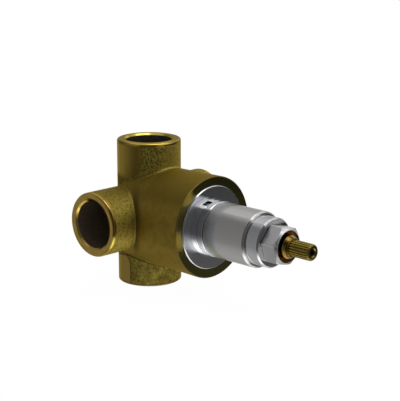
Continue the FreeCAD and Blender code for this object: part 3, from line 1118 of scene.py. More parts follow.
@dataclass(frozen=True)
class BrightPlate:
    """Bright nickel chrome plate over turned brass.

    The foot of the lock ring has a painted white reflection and its notches painted shade. The bonnet's end
    face has painted shade beside the hexagon and is hazy above it, the retaining nut's flange is hazy at its
    left, and the hexagon has painted shade below and at its crown.
    """

    name: str = "bright_plate"
    colour: Colour = (0.74, 0.745, 0.76)
    bloom_colour: Colour = (0.66, 0.665, 0.675)
    roughness: float = 0.08
    bloom_size: float = 4.0
    bloom_levels: Span = (0.3, 0.8)
    bloom_share: float = 0.5
    bloom_roughness: float = 0.05
    tool_roughness: float = 0.01
    ring_size: float = 0.3
    ring_slant: float = 1.21
    ring_depth: float = 0.00002
    painted_foot_reflection: Colour = (0.98, 0.98, 0.985)
    foot_span: Span = (46.1, 44.9)
    foot_heights: Span = (-2.5, -5.0)
    foot_top_heights: Span = (9.5, 11.0)
    foot_top_share: float = 0.3
    foot_reach: Span = (14.6, 13.6)
    notch_shade_colour: Colour = (0.17, 0.23, 0.25)
    notch_radius: float = 12.4
    notch_reach: Span = (0.62, 0.58)
    notch_place: float = 44.25
    notch_length: Span = (0.92, 0.86)
    face_shade_colour: Colour = (0.3, 0.3, 0.31)
    face_roughness: float = 0.11
    face_bloom: float = 0.65
    face_bloom_heights: Span = (7.6, 9.0)
    face_grey_top: Span = (9.6, 7.6)
    face_grey_bottom: Span = (-1.0, 2.0)
    face_start: Span = (81.25, 81.27)
    face_end: Span = (81.6, 81.58)
    flange_face: Span = (43.32, 43.3)
    flange_reach: Span = (13.2, 13.3)
    flange_bloom: float = 0.15
    flange_sides: Span = (-8.0, -18.0)
    crown_shade_colour: Colour = (0.4, 0.4, 0.39)
    crown_start: Span = (88.4, 88.7)
    crown_heights: Span = (2.0, -3.0)
    lower_share: float = 0.0
    lower_heights: Span = (1.4, 0.9)

    def make(self) -> bpy.types.Material:
        """Build the material.

        Returns:
            The material.
        """
        r = Recipe(self.name)
        distance, along = distance_from_axis(r, Axis.BARREL)
        forward = -along
        x, _, z = r.places()
        tool = r.line_noise(distance + along * self.ring_slant, self.ring_size, 2.0)
        bloom = r.noise(self.bloom_size, 3.0)
        on_foot = z.rise(*self.foot_heights).most(z.rise(*self.foot_top_heights) * self.foot_top_share)
        on_foot = on_foot * forward.rise(*self.foot_span) * distance.rise(*self.foot_reach)
        in_notch = (distance - self.notch_radius).size().rise(*self.notch_reach)
        in_notch = in_notch * (forward - self.notch_place).size().rise(*self.notch_length)
        on_face = forward.rise(*self.face_start) * forward.rise(*self.face_end)
        on_flange = forward.rise(*self.flange_face) * distance.rise(*self.flange_reach)
        on_crown = forward.rise(*self.crown_start) * z.rise(*self.crown_heights)
        lower = z.rise(*self.lower_heights) * self.lower_share
        greyed = on_face * z.rise(*self.face_grey_top) * z.rise(*self.face_grey_bottom)
        colour = r.blend(bloom.rise(*self.bloom_levels) * self.bloom_share, self.colour, self.bloom_colour)
        # painted reflection: the lock ring's foot is white
        colour = r.blend(on_foot, colour, self.painted_foot_reflection)
        # painted shade in the notches
        colour = r.blend(in_notch, colour, self.notch_shade_colour)
        # painted shade on the bonnet's end face beside the hexagon
        colour = r.blend(greyed, colour, self.face_shade_colour)
        # painted shade on the hexagon's lower flats and crown
        colour = r.blend(on_crown.most(lower), colour, self.crown_shade_colour)
        rough = self.roughness + bloom * self.bloom_roughness + tool * self.tool_roughness
        rough = rough + on_face * (self.face_roughness - self.roughness)
        rough = rough + on_flange * x.rise(*self.flange_sides) * self.flange_bloom
        rough = rough + on_face * z.rise(*self.face_bloom_heights) * self.face_bloom
        normal = r.bump(tool, self.ring_depth)
        return r.shade({"Base Color": colour, "Metallic": 1.0, "Roughness": rough, "Normal": normal})


@dataclass(frozen=True)
class SatinPlate:
    """Satin nickel plate, brushed round the sleeve, with painted shade towards its back, tinted blue."""

    colour: Colour = (0.73, 0.72, 0.705)
    brushed_colour: Colour = (0.6, 0.59, 0.57)
    back: Layer = Layer((0.57, 0.6, 0.69), 57.5, 54.2, 0.8)
    roughness: float = 0.17
    back_roughness: float = 0.15
    broken_roughness: float = 0.06
    brush_size: float = 0.16
    brush_depth: float = 0.0005
    brush_share: float = 0.3
    brush_relief: float = 0.8
    broken_size: float = 0.9
    broken_stretch: tuple[float, float, float] = (0.3, 4.0, 0.3)
    broken_share: float = 0.2
    broken_relief: float = 0.2

    def make(self) -> bpy.types.Material:
        """Build the material.

        Returns:
            The material.
        """
        r = Recipe("satin_plate")
        _, along, _ = r.places()
        brush = r.line_noise(along, self.brush_size, 4.0)
        broken = r.noise(self.broken_size, 2.0, 0.5, r.stretched(self.broken_stretch))
        brushed = brush * self.brush_share + broken * self.broken_share
        colour = r.blend(brushed, self.colour, self.brushed_colour)
        # painted shade towards the back, tinted blue against the gold that the sleeve reflects
        colour = self.back.lay(r, colour, -along)
        behind = (-along).rise(self.back.start, self.back.full)
        rough = self.roughness + (broken - 0.5) * self.broken_roughness + behind * self.back_roughness
        normal = r.bump(brush * self.brush_relief + broken * self.broken_relief, self.brush_depth)
        return r.shade({"Base Color": colour, "Metallic": 1.0, "Roughness": rough, "Normal": normal})


@dataclass(frozen=True)
class Stainless:
    """Drawn stainless of the pins and the snap ring."""

    colour: Colour = (0.55, 0.55, 0.56)
    drawn_colour: Colour = (0.4, 0.4, 0.41)
    roughness: float = 0.26
    drawn_depth: float = 0.006

    def make(self) -> bpy.types.Material:
        """Build the material.

        Returns:
            The material.
        """
        r = Recipe("plain_stainless")
        drawn = r.noise(0.35, 3.0, 0.6, r.stretched((1.0, 0.12, 1.0)))
        colour = r.blend(drawn * 0.5, self.colour, self.drawn_colour)
        rough = self.roughness + drawn * 0.12
        normal = r.bump(drawn, self.drawn_depth)
        return r.shade({"Base Color": colour, "Metallic": 1.0, "Roughness": rough, "Normal": normal})


@dataclass(frozen=True)
class MouldedPolymer:
    """Moulded part of the cartridge: a fine satin skin with faint flow marks."""

    name: str
    colour: Colour
    shade_colour: Colour
    roughness: float = 0.42
    skin_size: float = 0.3
    skin_depth: float = 0.012
    refraction: float = 1.48

    def make(self) -> bpy.types.Material:
        """Build the material.

        Returns:
            The material.
        """
        r = Recipe(self.name)
        flow = r.noise(5.0, 2.0, 0.5, r.stretched((1.0, 0.4, 1.0)))
        skin = r.noise(self.skin_size, 2.0)
        colour = r.blend(flow.rise(0.3, 0.75), self.colour, self.shade_colour)
        rough = self.roughness + (skin - 0.5) * 0.1
        normal = r.bump(skin, self.skin_depth)
        return r.shade({"Base Color": colour, "Roughness": rough, "Normal": normal, "IOR": self.refraction})


@dataclass(frozen=True)
class SealRubber:
    """Black nitrile with a dusty bloom."""

    colour: Colour = (0.014, 0.014, 0.015)
    bloom_colour: Colour = (0.05, 0.05, 0.052)
    roughness: float = 0.48
    skin_size: float = 0.2
    skin_depth: float = 0.01
    refraction: float = 1.52

    def make(self) -> bpy.types.Material:
        """Build the material.

        Returns:
            The material.
        """
        r = Recipe("seal_nitrile")
        bloom = r.noise(1.6, 4.0, 0.6)
        skin = r.noise(self.skin_size, 3.0)
        colour = r.blend(bloom.rise(0.4, 0.85) * 0.6, self.colour, self.bloom_colour)
        rough = self.roughness + bloom * 0.2
        normal = r.bump(skin, self.skin_depth)
        return r.shade({"Base Color": colour, "Roughness": rough, "Normal": normal, "IOR": self.refraction})


@dataclass(frozen=True)
class LappedCeramic:
    """Lapped alumina of the two discs."""

    colour: Colour = (0.86, 0.84, 0.78)
    cloud_colour: Colour = (0.78, 0.76, 0.7)
    roughness: float = 0.16
    speck_size: float = 0.25
    speck_depth: float = 0.002
    refraction: float = 1.76

    def make(self) -> bpy.types.Material:
        """Build the material.

        Returns:
            The material.
        """
        r = Recipe("lapped_alumina")
        speck = r.noise(self.speck_size, 3.0)
        cloud = r.noise(4.0, 2.0)
        colour = r.blend(cloud * 0.6 + speck.rise(0.6, 0.8) * 0.3, self.colour, self.cloud_colour)
        rough = self.roughness + speck * 0.1
        normal = r.bump(speck, self.speck_depth)
        return r.shade({"Base Color": colour, "Roughness": rough, "Normal": normal, "IOR": self.refraction})


# ---------------------------------------------------------------- sub-assemblies


def put_on(piece: bpy.types.Object, *materials: bpy.types.Material) -> None:
    """Give a piece its finishes.

    Args:
        piece: the piece.
        materials: its finishes, in the order of its material slots.
    """
    piece.data.materials.clear()
    for material in materials:
        piece.data.materials.append(material)


def hand_over(piece: bpy.types.Object, body: str, node: str) -> None:
    """Let a dressed piece ride on its body in place of its solid.

    Args:
        piece: the dressed piece.
        body: the body that it rides on.
        node: the solid that it replaces.
    """
    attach(piece, body)
    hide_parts(node)
    log.info("%s stands for %s with %d faces", piece.name, node, len(piece.data.polygons))


class Cut(IntEnum):
    """The surfaces of the casting, in the order of its material slots."""

    CAST = 0
    SIDE_END = 1
    MOUTH = 2
    TOP_END = 3
    SIDE_BORE = 4
    CHAMBER = 5
    UPRIGHT_BORE = 6
    BOTTOM_END = 7


@dataclass
class Casting:
    """The cast body: a smooth-shaded copy of its solid, with cast and machined faces told apart."""

    port_radius: float = 15.35
    bore_radius: float = 12.05
    bore_margin: float = 0.7
    bore_start: float = 5.0
    rim_chamfer: float = 0.81
    edge_round: float = 1.02
    reaches: Mapping[str, float] = field(
        default_factory=lambda: {"top": 36.4, "bottom": 33.7, "left": 36.8, "right": 36.8}
    )
    barrel_front: float = 43.0
    barrel_edge: float = 0.52
    thread_radius: float = 20.15
    seat: float = 14.1
    sharp: float = 30.0

    def finishes(self) -> dict[Cut, bpy.types.Material]:
        """Make the casting's finishes.

        Returns:
            The finish of each surface.
        """
        # the side sockets' ends get the painted shade and highlight on their edges and the painted shade round their
        # mouths, and the top socket's end gets painted shade at its sides
        side_end = TurnedBrass(
            Axis.ACROSS, colour=(0.8, 0.56, 0.14), dull_colour=(0.6, 0.37, 0.09), edge_start=14.2, mouth_end=12.7
        )
        top_end = TurnedBrass(
            Axis.UPRIGHT, colour=(0.64, 0.53, 0.1), dull_colour=(0.46, 0.34, 0.06), side_shade_share=0.85
        )
        bottom_end = TurnedBrass(Axis.UPRIGHT, "dulled_brass", (0.24, 0.19, 0.045), (0.18, 0.13, 0.03), 0.3)
        return {
            Cut.CAST: CastSkin().make(),
            Cut.SIDE_END: side_end.make(),
            Cut.MOUTH: MouthFace().make(),
            Cut.TOP_END: top_end.make(),
            Cut.SIDE_BORE: DarkBore(Axis.ACROSS).make(),
            Cut.CHAMBER: DarkBore(Axis.BARREL).make(),
            # the upright bore has darker painted shade
            Cut.UPRIGHT_BORE: DarkBore(Axis.UPRIGHT, (0.035, 0.028, 0.027), (0.08, 0.06, 0.05)).make(),
            Cut.BOTTOM_END: bottom_end.make(),
        }

    def build(self, node: bpy.types.Object) -> bpy.types.Object:
        """Copy the solid's mesh and dress it.

        Args:
            node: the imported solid.

        Returns:
            The dressed piece, which takes the solid's place.
        """
        mesh = node.data.copy()
        mesh.name = "body_casting"
        piece = add_object("body_casting", mesh)
        finish_mesh(mesh, self.sharp)
        weigh_normals(piece)
        finishes = self.finishes()
        put_on(piece, *(finishes[cut] for cut in Cut))
        self._tell_apart(mesh)
        return piece

    def _tell_apart(self, mesh: bpy.types.Mesh) -> None:
        """Set each face's finish.

        Formula in words: a face is turned where its centre lies past the start of a socket's edge round
        or past the barrel's edge round, and a dark bore where it lies inside a socket or the barrel.

        Args:
            mesh: the casting's mesh.
        """
        x, y, z = face_centres(mesh).T
        forward = -y
        finish = np.full(len(x), Cut.CAST, np.int32)
        across, upright, barrel = np.hypot(y, z), np.hypot(x, y), np.hypot(x, z)
        for name, along, radius, end, bore in (
            ("left", -x, across, Cut.SIDE_END, Cut.SIDE_BORE),
            ("right", x, across, Cut.SIDE_END, Cut.SIDE_BORE),
            ("top", z, upright, Cut.TOP_END, Cut.UPRIGHT_BORE),
            ("bottom", -z, upright, Cut.BOTTOM_END, Cut.UPRIGHT_BORE),
        ):
            reach = self.reaches[name]
            finish[(along > reach - self.edge_round) & (radius < self.port_radius + 0.1)] = end
            inside = (along > self.bore_start) & (along < reach - self.rim_chamfer)
            finish[inside & (radius < self.bore_radius - self.bore_margin)] = bore
        chamber = (barrel < self.thread_radius) & (forward > self.seat - 0.3)
        ways = (barrel < self.seat) & (forward > -1) & (forward < self.seat) & (finish == Cut.CAST)
        finish[chamber | ways] = Cut.CHAMBER
        finish[forward > self.barrel_front - self.barrel_edge] = Cut.MOUTH
        mesh.polygons.foreach_set("material_index", finish)


@dataclass
class PlatedFront:
    """Retaining nut, bonnet, lock ring and sleeve."""

    foot_back: float = 35.6
    foot_front: float = 38.6
    foot_radius: float = 17.5
    bonnet_radius: float = 11.5
    bonnet_front: float = 81.3
    bonnet_chamfer: float = 0.65
    clip_room_radius: float = 8.4
    clip_room_front: float = 40.6
    groove_inner: float = 11.2
    groove_outer: float = 12.8
    groove_width: float = 1.6
    packing_room: float = 8.21
    packing_back: float = 71.3
    spindle_hole: float = 5.56
    skirt_back: float = 34.0
    skirt_bore: float = 17.7
    nut_outer: float = 19.9
    nut_bore: float = 11.6
    nut_front: float = 43.3
    nut_chamfer: float = 0.45
    ring_radius: float = 13.15
    ring_front: float = 48.6
    ring_foot: float = 45.1
    ring_groove: float = 0.35
    notch_half_width: float = 2.05
    notch_floor: float = 12.05
    notch_angle: float = 109.0
    notch_step: float = 0.0001
    sleeve_radius: float = 13.05
    sleeve_back: float = 49.1
    sleeve_front: float = 73.9
    sleeve_chamfer: float = 0.7
    nut_columns: int = 256
    ring_columns: int = 240
    columns: int = 224

    def nut(self) -> bpy.types.Object:
        """Turn the flanged retaining nut.

        Returns:
            The bare piece.
        """
        return turned_piece(
            "nut_skin",
            [
                (self.skirt_back, self.skirt_bore, 0.15),
                (self.skirt_back, self.nut_outer, 0.15),
                (self.nut_front - self.nut_chamfer, self.nut_outer, 0.08),
                (self.nut_front, self.nut_outer - self.nut_chamfer, 0.08),
                (self.nut_front, self.nut_bore, 0.06),
                (self.foot_front, self.nut_bore, 0.06),
                (self.foot_front, self.skirt_bore, 0.15),
            ],
            self.nut_columns,
        )

    def bonnet(self) -> bpy.types.Object:
        """Turn the plated tube with its foot, clip room, ring groove and packing room.

        Returns:
            The bare piece.
        """
        back, front = self.foot_back, self.bonnet_front
        groove_front = back + self.groove_width
        return turned_piece(
            "bonnet_skin",
            [
                (back, self.clip_room_radius, 0.1),
                (back, self.groove_inner, 0.08),
                (groove_front, self.groove_inner, 0.08),
                (groove_front, self.groove_outer, 0.08),
                (back, self.groove_outer, 0.08),
                (back, self.foot_radius, 0.15),
                (self.foot_front, self.foot_radius, 0.15),
                (self.foot_front, self.bonnet_radius, 0.15),
                (front - self.bonnet_chamfer, self.bonnet_radius, 0.1),
                (front, self.bonnet_radius - self.bonnet_chamfer, 0.1),
                (front, self.packing_room, 0.1),
                (self.packing_back, self.packing_room, 0.1),
                (self.packing_back, self.spindle_hole, 0.1),
                (self.clip_room_front, self.spindle_hole, 0.1),
                (self.clip_room_front, self.clip_room_radius, 0.1),
            ],
            self.columns,
        )

    def sleeve(self) -> bpy.types.Object:
        """Turn the satin sleeve.

        Returns:
            The bare piece.
        """
        return turned_piece(
            "sleeve_skin",
            [
                (self.sleeve_back, self.nut_bore, 0.1),
                (self.sleeve_back, self.sleeve_radius, 0.25),
                (self.sleeve_front - self.sleeve_chamfer, self.sleeve_radius, 0.12),
                (self.sleeve_front, self.sleeve_radius - self.sleeve_chamfer, 0.12),
                (self.sleeve_front, self.nut_bore, 0.1),
            ],
            self.columns,
        )

    def lock_ring(self) -> bpy.types.Object:
        """Turn the polished lock ring, with two flat-floored spanner notches in its foot.

        Formula in words: behind the foot's plane the radius is no more than the floor's distance over
        the cosine of the turn from the notch, wherever the sideways distance is under half its width.
        Two columns a small step apart, in radians, make each side of a notch.

        Returns:
            The bare piece.
        """
        foot, groove, radius = self.ring_foot, self.ring_groove, self.ring_radius
        outline = rounded_outline(
            [
                (self.nut_front, self.nut_bore, 0.1),
                (self.nut_front, radius, 0.1),
                (foot - groove, radius, 0.05),
                (foot, radius - groove, 0.05),
                (foot + groove, radius, 0.05),
                (self.ring_front - groove, radius, 0.1),
                (self.ring_front, radius - groove, 0.1),
                (self.ring_front, self.nut_bore, 0.1),
            ]
        )
        along, reach = outline[:, :1], outline[:, 1:]
        edge = math.asin(self.notch_half_width / self.ring_radius)
        plain = np.linspace(0, 2 * np.pi, self.ring_columns, endpoint=False)
        notches = np.radians([self.notch_angle, self.notch_angle + 180.0])
        step = self.notch_step
        sides = (notches[:, None] + np.array([-edge - step, -edge + step, edge - step, edge + step])).ravel()
        turn = np.sort(np.concatenate([plain, sides % (2 * np.pi)]))[None]
        off = np.abs((turn - math.radians(self.notch_angle) + np.pi / 2) % np.pi - np.pi / 2)
        floor = np.where(off < edge, self.notch_floor / np.cos(np.minimum(off, edge)), np.inf)
        cut = np.where(along < foot, np.minimum(reach, floor), reach)
        # a second row on the foot's plane makes the end wall of each notch
        wall = int(np.argmax((along[:, 0] > foot) & (reach[:, 0] > self.nut_bore + 0.5)))
        cut = np.insert(cut, wall, np.minimum(reach[wall], floor), axis=0)
        cut = np.insert(cut, wall + 1, np.broadcast_to(reach[wall], turn.shape), axis=0)
        along = np.insert(along, wall, foot, axis=0)
        along = np.insert(along, wall, foot, axis=0)
        return grid_piece("lock_ring_skin", turned_points(along, cut, turn), close_rows=True)

    def build(self) -> None:
        """Build the four skins and dress them."""
        bright = BrightPlate().make()
        for make, node, slot, material in (
            (self.nut, "retaining_nut", "bright_plating", bright),
            (self.bonnet, "bonnet", "bright_plating", bright),
            (self.lock_ring, "lock_ring", "bright_plating", bright),
            (self.sleeve, "sleeve", "satin_plating", SatinPlate().make()),
        ):
            piece = make()
            put_on(piece, material)
            hand_over(piece, "valve", node)


@dataclass
class GlandNut:
    """Six-sided nut with crowned corners, a chamfered rim, a recess and a spigot."""

    across_flats: float = 16.4
    corner_round: float = 0.35
    turn_degrees: float = -12.0
    back: float = 81.3
    front: float = 89.7
    crown_radius: float = 8.5
    crown_angle: float = 30.0
    rim_chamfer: float = 1.0
    recess_radius: float = 7.3
    recess_depth: float = 2.9
    hole_radius: float = 5.56
    spigot_radius: float = 8.11
    spigot_back: float = 75.3
    edge: float = 0.12
    corner_drop: float = 0.155
    corner_fall: float = 1.2
    corner_turn: float = 0.12
    columns: int = 288
    sharp: float = 24.0

    def hexagon(self) -> tuple[np.ndarray, np.ndarray]:
        """Work out the outline of the six flats.

        Formula in words: along each flat the radius is half the width across flats over the cosine of
        the turn from the flat's middle, and it never passes the rounded corner's own radius. That is the
        sharp corner's radius less the drop of its round, as in a corner of 120 degrees, and it falls away
        with the square of the turn from the corner.

        Returns:
            The turns in radians and the radii in mm.
        """
        turn = np.linspace(0, 2 * np.pi, self.columns, endpoint=False)
        flat = (turn + np.pi / 6) % (np.pi / 3) - np.pi / 6
        radius = self.across_flats / 2 / np.cos(flat)
        corner = self.across_flats / math.sqrt(3)
        from_corner = np.pi / 6 - np.abs(flat)
        blunt = corner - self.corner_round * self.corner_drop - self.corner_fall * corner * from_corner**2
        radius = np.where(from_corner < self.corner_turn, np.minimum(radius, blunt), radius)
        middle = math.radians(180.0 + self.turn_degrees) + np.pi / 6
        return turn + middle, radius

    def build(self) -> bpy.types.Object:
        """Build the nut.

        Formula in words: each column runs up its flat to where it meets the crown's cone, or the rim's
        cone where it is inside the crown, then along the cones to the recess.

        Returns:
            The dressed piece.
        """
        turn, radius = self.hexagon()
        slope = math.tan(math.radians(self.crown_angle))
        crown_front = self.front - self.rim_chamfer
        outside = radius > self.crown_radius
        top = crown_front - (radius - self.crown_radius) * np.where(outside, slope, 1.0)
        crown = np.minimum(radius, self.crown_radius)
        crown_place = np.where(outside, crown_front, top)
        rim = self.crown_radius - self.rim_chamfer
        bottom = self.front - self.recess_depth
        ones = np.ones_like(turn)
        e = self.edge
        # every edge is rounded by rows a share of the edge's width apart
        rows: list[Row] = [
            (self.back, ones * self.spigot_radius),
            (self.back, radius - e),
            (self.back + e, radius),
            (self.back + 2 * e, radius),
            (top - 0.5 * (top - self.back), radius),
            (top - 1.5 * e, radius),
            (top - 0.7 * e, radius - 0.03 * e),
            (top + np.where(outside, 0.25 * e, 0.3 * e), radius - 0.55 * e),
            (top + (crown_place - top) * 0.5 + 0.3 * e, radius + (crown - radius) * 0.5 - 0.3 * e),
            (crown_place - 0.1 * e, crown - 0.2 * e),
            (self.front - 1.1 * e, rim * ones + 1.1 * e),
            (self.front - 0.3 * e, rim * ones + 0.2 * e),
            (self.front, rim * ones - 0.6 * e),
            (self.front, self.recess_radius * ones + 0.6 * e),
            (self.front - 0.6 * e, self.recess_radius * ones),
            (self.front - 2 * e, self.recess_radius * ones),
            (bottom + e, self.recess_radius * ones),
            (bottom, self.recess_radius * ones - e),
            (bottom, self.hole_radius * ones + e),
            (bottom - e, self.hole_radius * ones),
            (self.spigot_back + e, self.hole_radius * ones),
            (self.spigot_back, self.hole_radius * ones + e),
            (self.spigot_back, self.spigot_radius * ones - e),
            (self.spigot_back + e, self.spigot_radius * ones),
            (self.back - 0.02, self.spigot_radius * ones),
        ]
        piece = ringed_piece("gland_nut_skin", rows, turn, close_rows=True, sharp=self.sharp)
        # the hexagon's plate is a lighter copy of the bright plate, as painted light, with painted shade on its lower
        # flats
        plated = BrightPlate("hexagon_plate", (0.84, 0.84, 0.85), roughness=0.33, lower_share=0.5)
        bare = TurnedBrass(Axis.BARREL, "bare_brass", (0.3, 0.16, 0.05), (0.16, 0.08, 0.024), 0.18)
        put_on(piece, plated.make(), bare.make())
        # the plating stops at the recess and the hole, and the spigot behind the hexagon keeps it
        x, y, z = face_centres(piece.data).T
        radius, forward = np.hypot(x, z), -y
        in_recess = (radius < self.recess_radius + 0.02) & (forward < self.front - 0.3)
        inside = ((radius < self.recess_radius - 0.01) | in_recess) & (forward > self.back)
        piece.data.polygons.foreach_set("material_index", inside.astype(np.int32))
        return piece


@dataclass
class Spindle:
    """Brass spindle: square tang, journal with its grooves, shoulder, spline and threaded hole."""

    tang_back: float = 26.2
    tang_half: float = 3.8
    tang_end: float = 0.97
    tang_round: float = 0.15
    journal_back: float = 31.0
    journal_radius: float = 5.5
    journal_chamfer: float = 0.2
    clip_back: float = 35.95
    clip_front: float = 36.95
    clip_floor: float = 4.5
    ring_places: tuple[float, float] = (48.0, 62.0)
    ring_half: float = 0.8
    ring_floor: float = 3.84
    shoulder_front: float = 90.6
    spline_back: float = 92.6
    cone_end: float = 4.42
    crest: float = 3.82
    tooth_height: float = 0.42
    tooth_land: float = 0.35
    tooth_root: float = 0.65
    teeth: int = 20
    columns_each: int = 16
    tip: float = 103.6
    tip_chamfer: float = 0.6
    hole_radius: float = 1.65
    thread_depth: float = 0.3
    thread_pitch: float = 0.7
    thread_rows: int = 8
    thread_gap: float = 0.05
    run_in: float = 0.4
    run_out: float = 0.6
    run_out_start: float = 0.2
    threaded: float = 8.4
    hole_depth: float = 12.0
    drill_point: float = 0.99
    countersink: float = 0.45
    sharp: float = 28.0

    def teeth_outline(self, turn: np.ndarray) -> np.ndarray:
        """Work out the radius over the teeth.

        Formula in words: the place in the tooth's pitch, from -1 to 1 about its middle, sets the height:
        full inside the tooth's land, none outside its root, and a straight flank between.

        Args:
            turn: angles in radians.

        Returns:
            The radii in mm.
        """
        place = (turn * self.teeth / np.pi + 1) % 2 - 1
        height = np.clip((self.tooth_root - np.abs(place)) / (self.tooth_root - self.tooth_land), 0, 1)
        return self.crest - self.tooth_height * (1 - height)

    def build(self) -> bpy.types.Object:
        """Build the spindle as one grid from its tang to the bottom of its hole.

        Formula in words: rows of (distance forward, radius) over the turn. The tang's radius is half
        its width over the larger of the turn's cosine and sine. The thread's radius swings between the
        hole's and the thread's depth with the cosine of the distance over the pitch plus the turn, and
        the thread fades in and out at its ends.

        Returns:
            The dressed piece.
        """
        columns = self.teeth * self.columns_each
        turn = np.linspace(0, 2 * np.pi, columns, endpoint=False)
        ones = np.ones(columns)
        square = self.tang_half / np.maximum(np.abs(np.cos(turn)), np.abs(np.sin(turn)))
        tooth = self.teeth_outline(turn)
        journal = self.journal_radius
        small = self.crest - self.tip_chamfer
        rows: list[Row] = [
            (self.tang_back, 0 * ones),
            (self.tang_back, square * self.tang_end),
            (self.tang_back + self.tang_round, square),
            (self.journal_back, square),
            (self.journal_back, journal * ones - self.journal_chamfer),
            (self.journal_back + self.journal_chamfer, journal * ones),
        ]
        for start, end, floor in (
            (self.clip_back, self.clip_front, self.clip_floor),
            *((p - self.ring_half, p + self.ring_half, self.ring_floor) for p in self.ring_places),
        ):
            rows += [(start, journal * ones), (start, floor * ones), (end, floor * ones), (end, journal * ones)]
        # the small rounds of the shoulder, of the spline's start and of the tip are set row by row
        rows += [
            (self.shoulder_front - 0.25, journal * ones),
            (self.shoulder_front - 0.1, journal * ones - 0.03),
            (self.shoulder_front + 0.08, journal * ones - 0.12),
            (self.spline_back - 0.08, self.cone_end * ones + 0.04),
            (self.spline_back, self.cone_end * ones - 0.08),
            (self.spline_back, tooth + 0.02),
            (self.spline_back + 0.05, tooth),
            (self.tip - (tooth - small) - 0.15, tooth),
            (self.tip - (tooth - small) + 0.02, tooth - 0.05),
            (self.tip - 0.04, small * ones + 0.02),
            (self.tip, small * ones - 0.06),
            (self.tip, (self.hole_radius + self.countersink) * ones),
            (self.tip - self.countersink, self.hole_radius * ones),
        ]
        shallowest = self.countersink + self.thread_gap
        for depth in np.arange(0, self.threaded, self.thread_pitch / self.thread_rows) + shallowest:
            swing = np.cos(2 * np.pi * (depth / self.thread_pitch) + turn)
            begun = min(1.0, (depth - self.countersink) / self.run_in)
            ended = min(1.0, (self.threaded - depth) / self.run_out + self.run_out_start)
            groove = self.thread_depth * max(begun * ended, 0.0) * (0.5 + 0.5 * swing)
            rows.append((self.tip - depth, self.hole_radius + groove))
        rows += [
            (self.tip - self.hole_depth, self.hole_radius * ones),
            (self.tip - self.hole_depth - self.drill_point, 0 * ones),
        ]
        piece = ringed_piece("spindle_skin", rows, turn, close_rows=False, sharp=self.sharp)
        put_on(piece, PolishedBrass().make())
        return piece


class Inside(Enum):
    """The finishes of the pieces inside."""

    RUBBER = "rubber"
    ACETAL = "acetal"
    PACKING = "packing"
    CERAMIC = "ceramic"
    STAINLESS = "stainless"


@dataclass
class Cartridge:
    """The pieces inside: they keep their solids' meshes and get their finishes."""

    wearers: Mapping[Inside, Sequence[str]] = field(
        default_factory=lambda: {
            Inside.RUBBER: (
                "inlet_seal",
                "outlet_seal_left",
                "outlet_seal_top",
                "outlet_seal_right",
                "housing_oring",
                "bonnet_oring",
                "spindle_oring_inner",
                "spindle_oring_outer",
            ),
            Inside.ACETAL: ("cartridge_base", "disc_driver", "cartridge_housing"),
            Inside.PACKING: ("thrust_washer", "gland_packing"),
            Inside.CERAMIC: ("fixed_disc", "moving_disc"),
            Inside.STAINLESS: ("locating_pins", "spindle_clip"),
        }
    )

    def dress(self, nodes: Mapping[str, bpy.types.Object]) -> None:
        """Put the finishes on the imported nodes.

        Args:
            nodes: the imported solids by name.
        """
        made = {
            Inside.RUBBER: SealRubber().make(),
            Inside.ACETAL: MouldedPolymer("moulded_acetal", (0.72, 0.72, 0.68), (0.62, 0.62, 0.58)).make(),
            Inside.PACKING: MouldedPolymer("packing_ring", (0.8, 0.8, 0.77), (0.7, 0.7, 0.67), 0.5, 0.15).make(),
            Inside.CERAMIC: LappedCeramic().make(),
            Inside.STAINLESS: Stainless().make(),
        }
        for finish, names in self.wearers.items():
            for name in names:
                put_on(nodes[name], made[finish])
                log.info("%s keeps its solid, in %s", name, finish.value)


# ---------------------------------------------------------------- studio


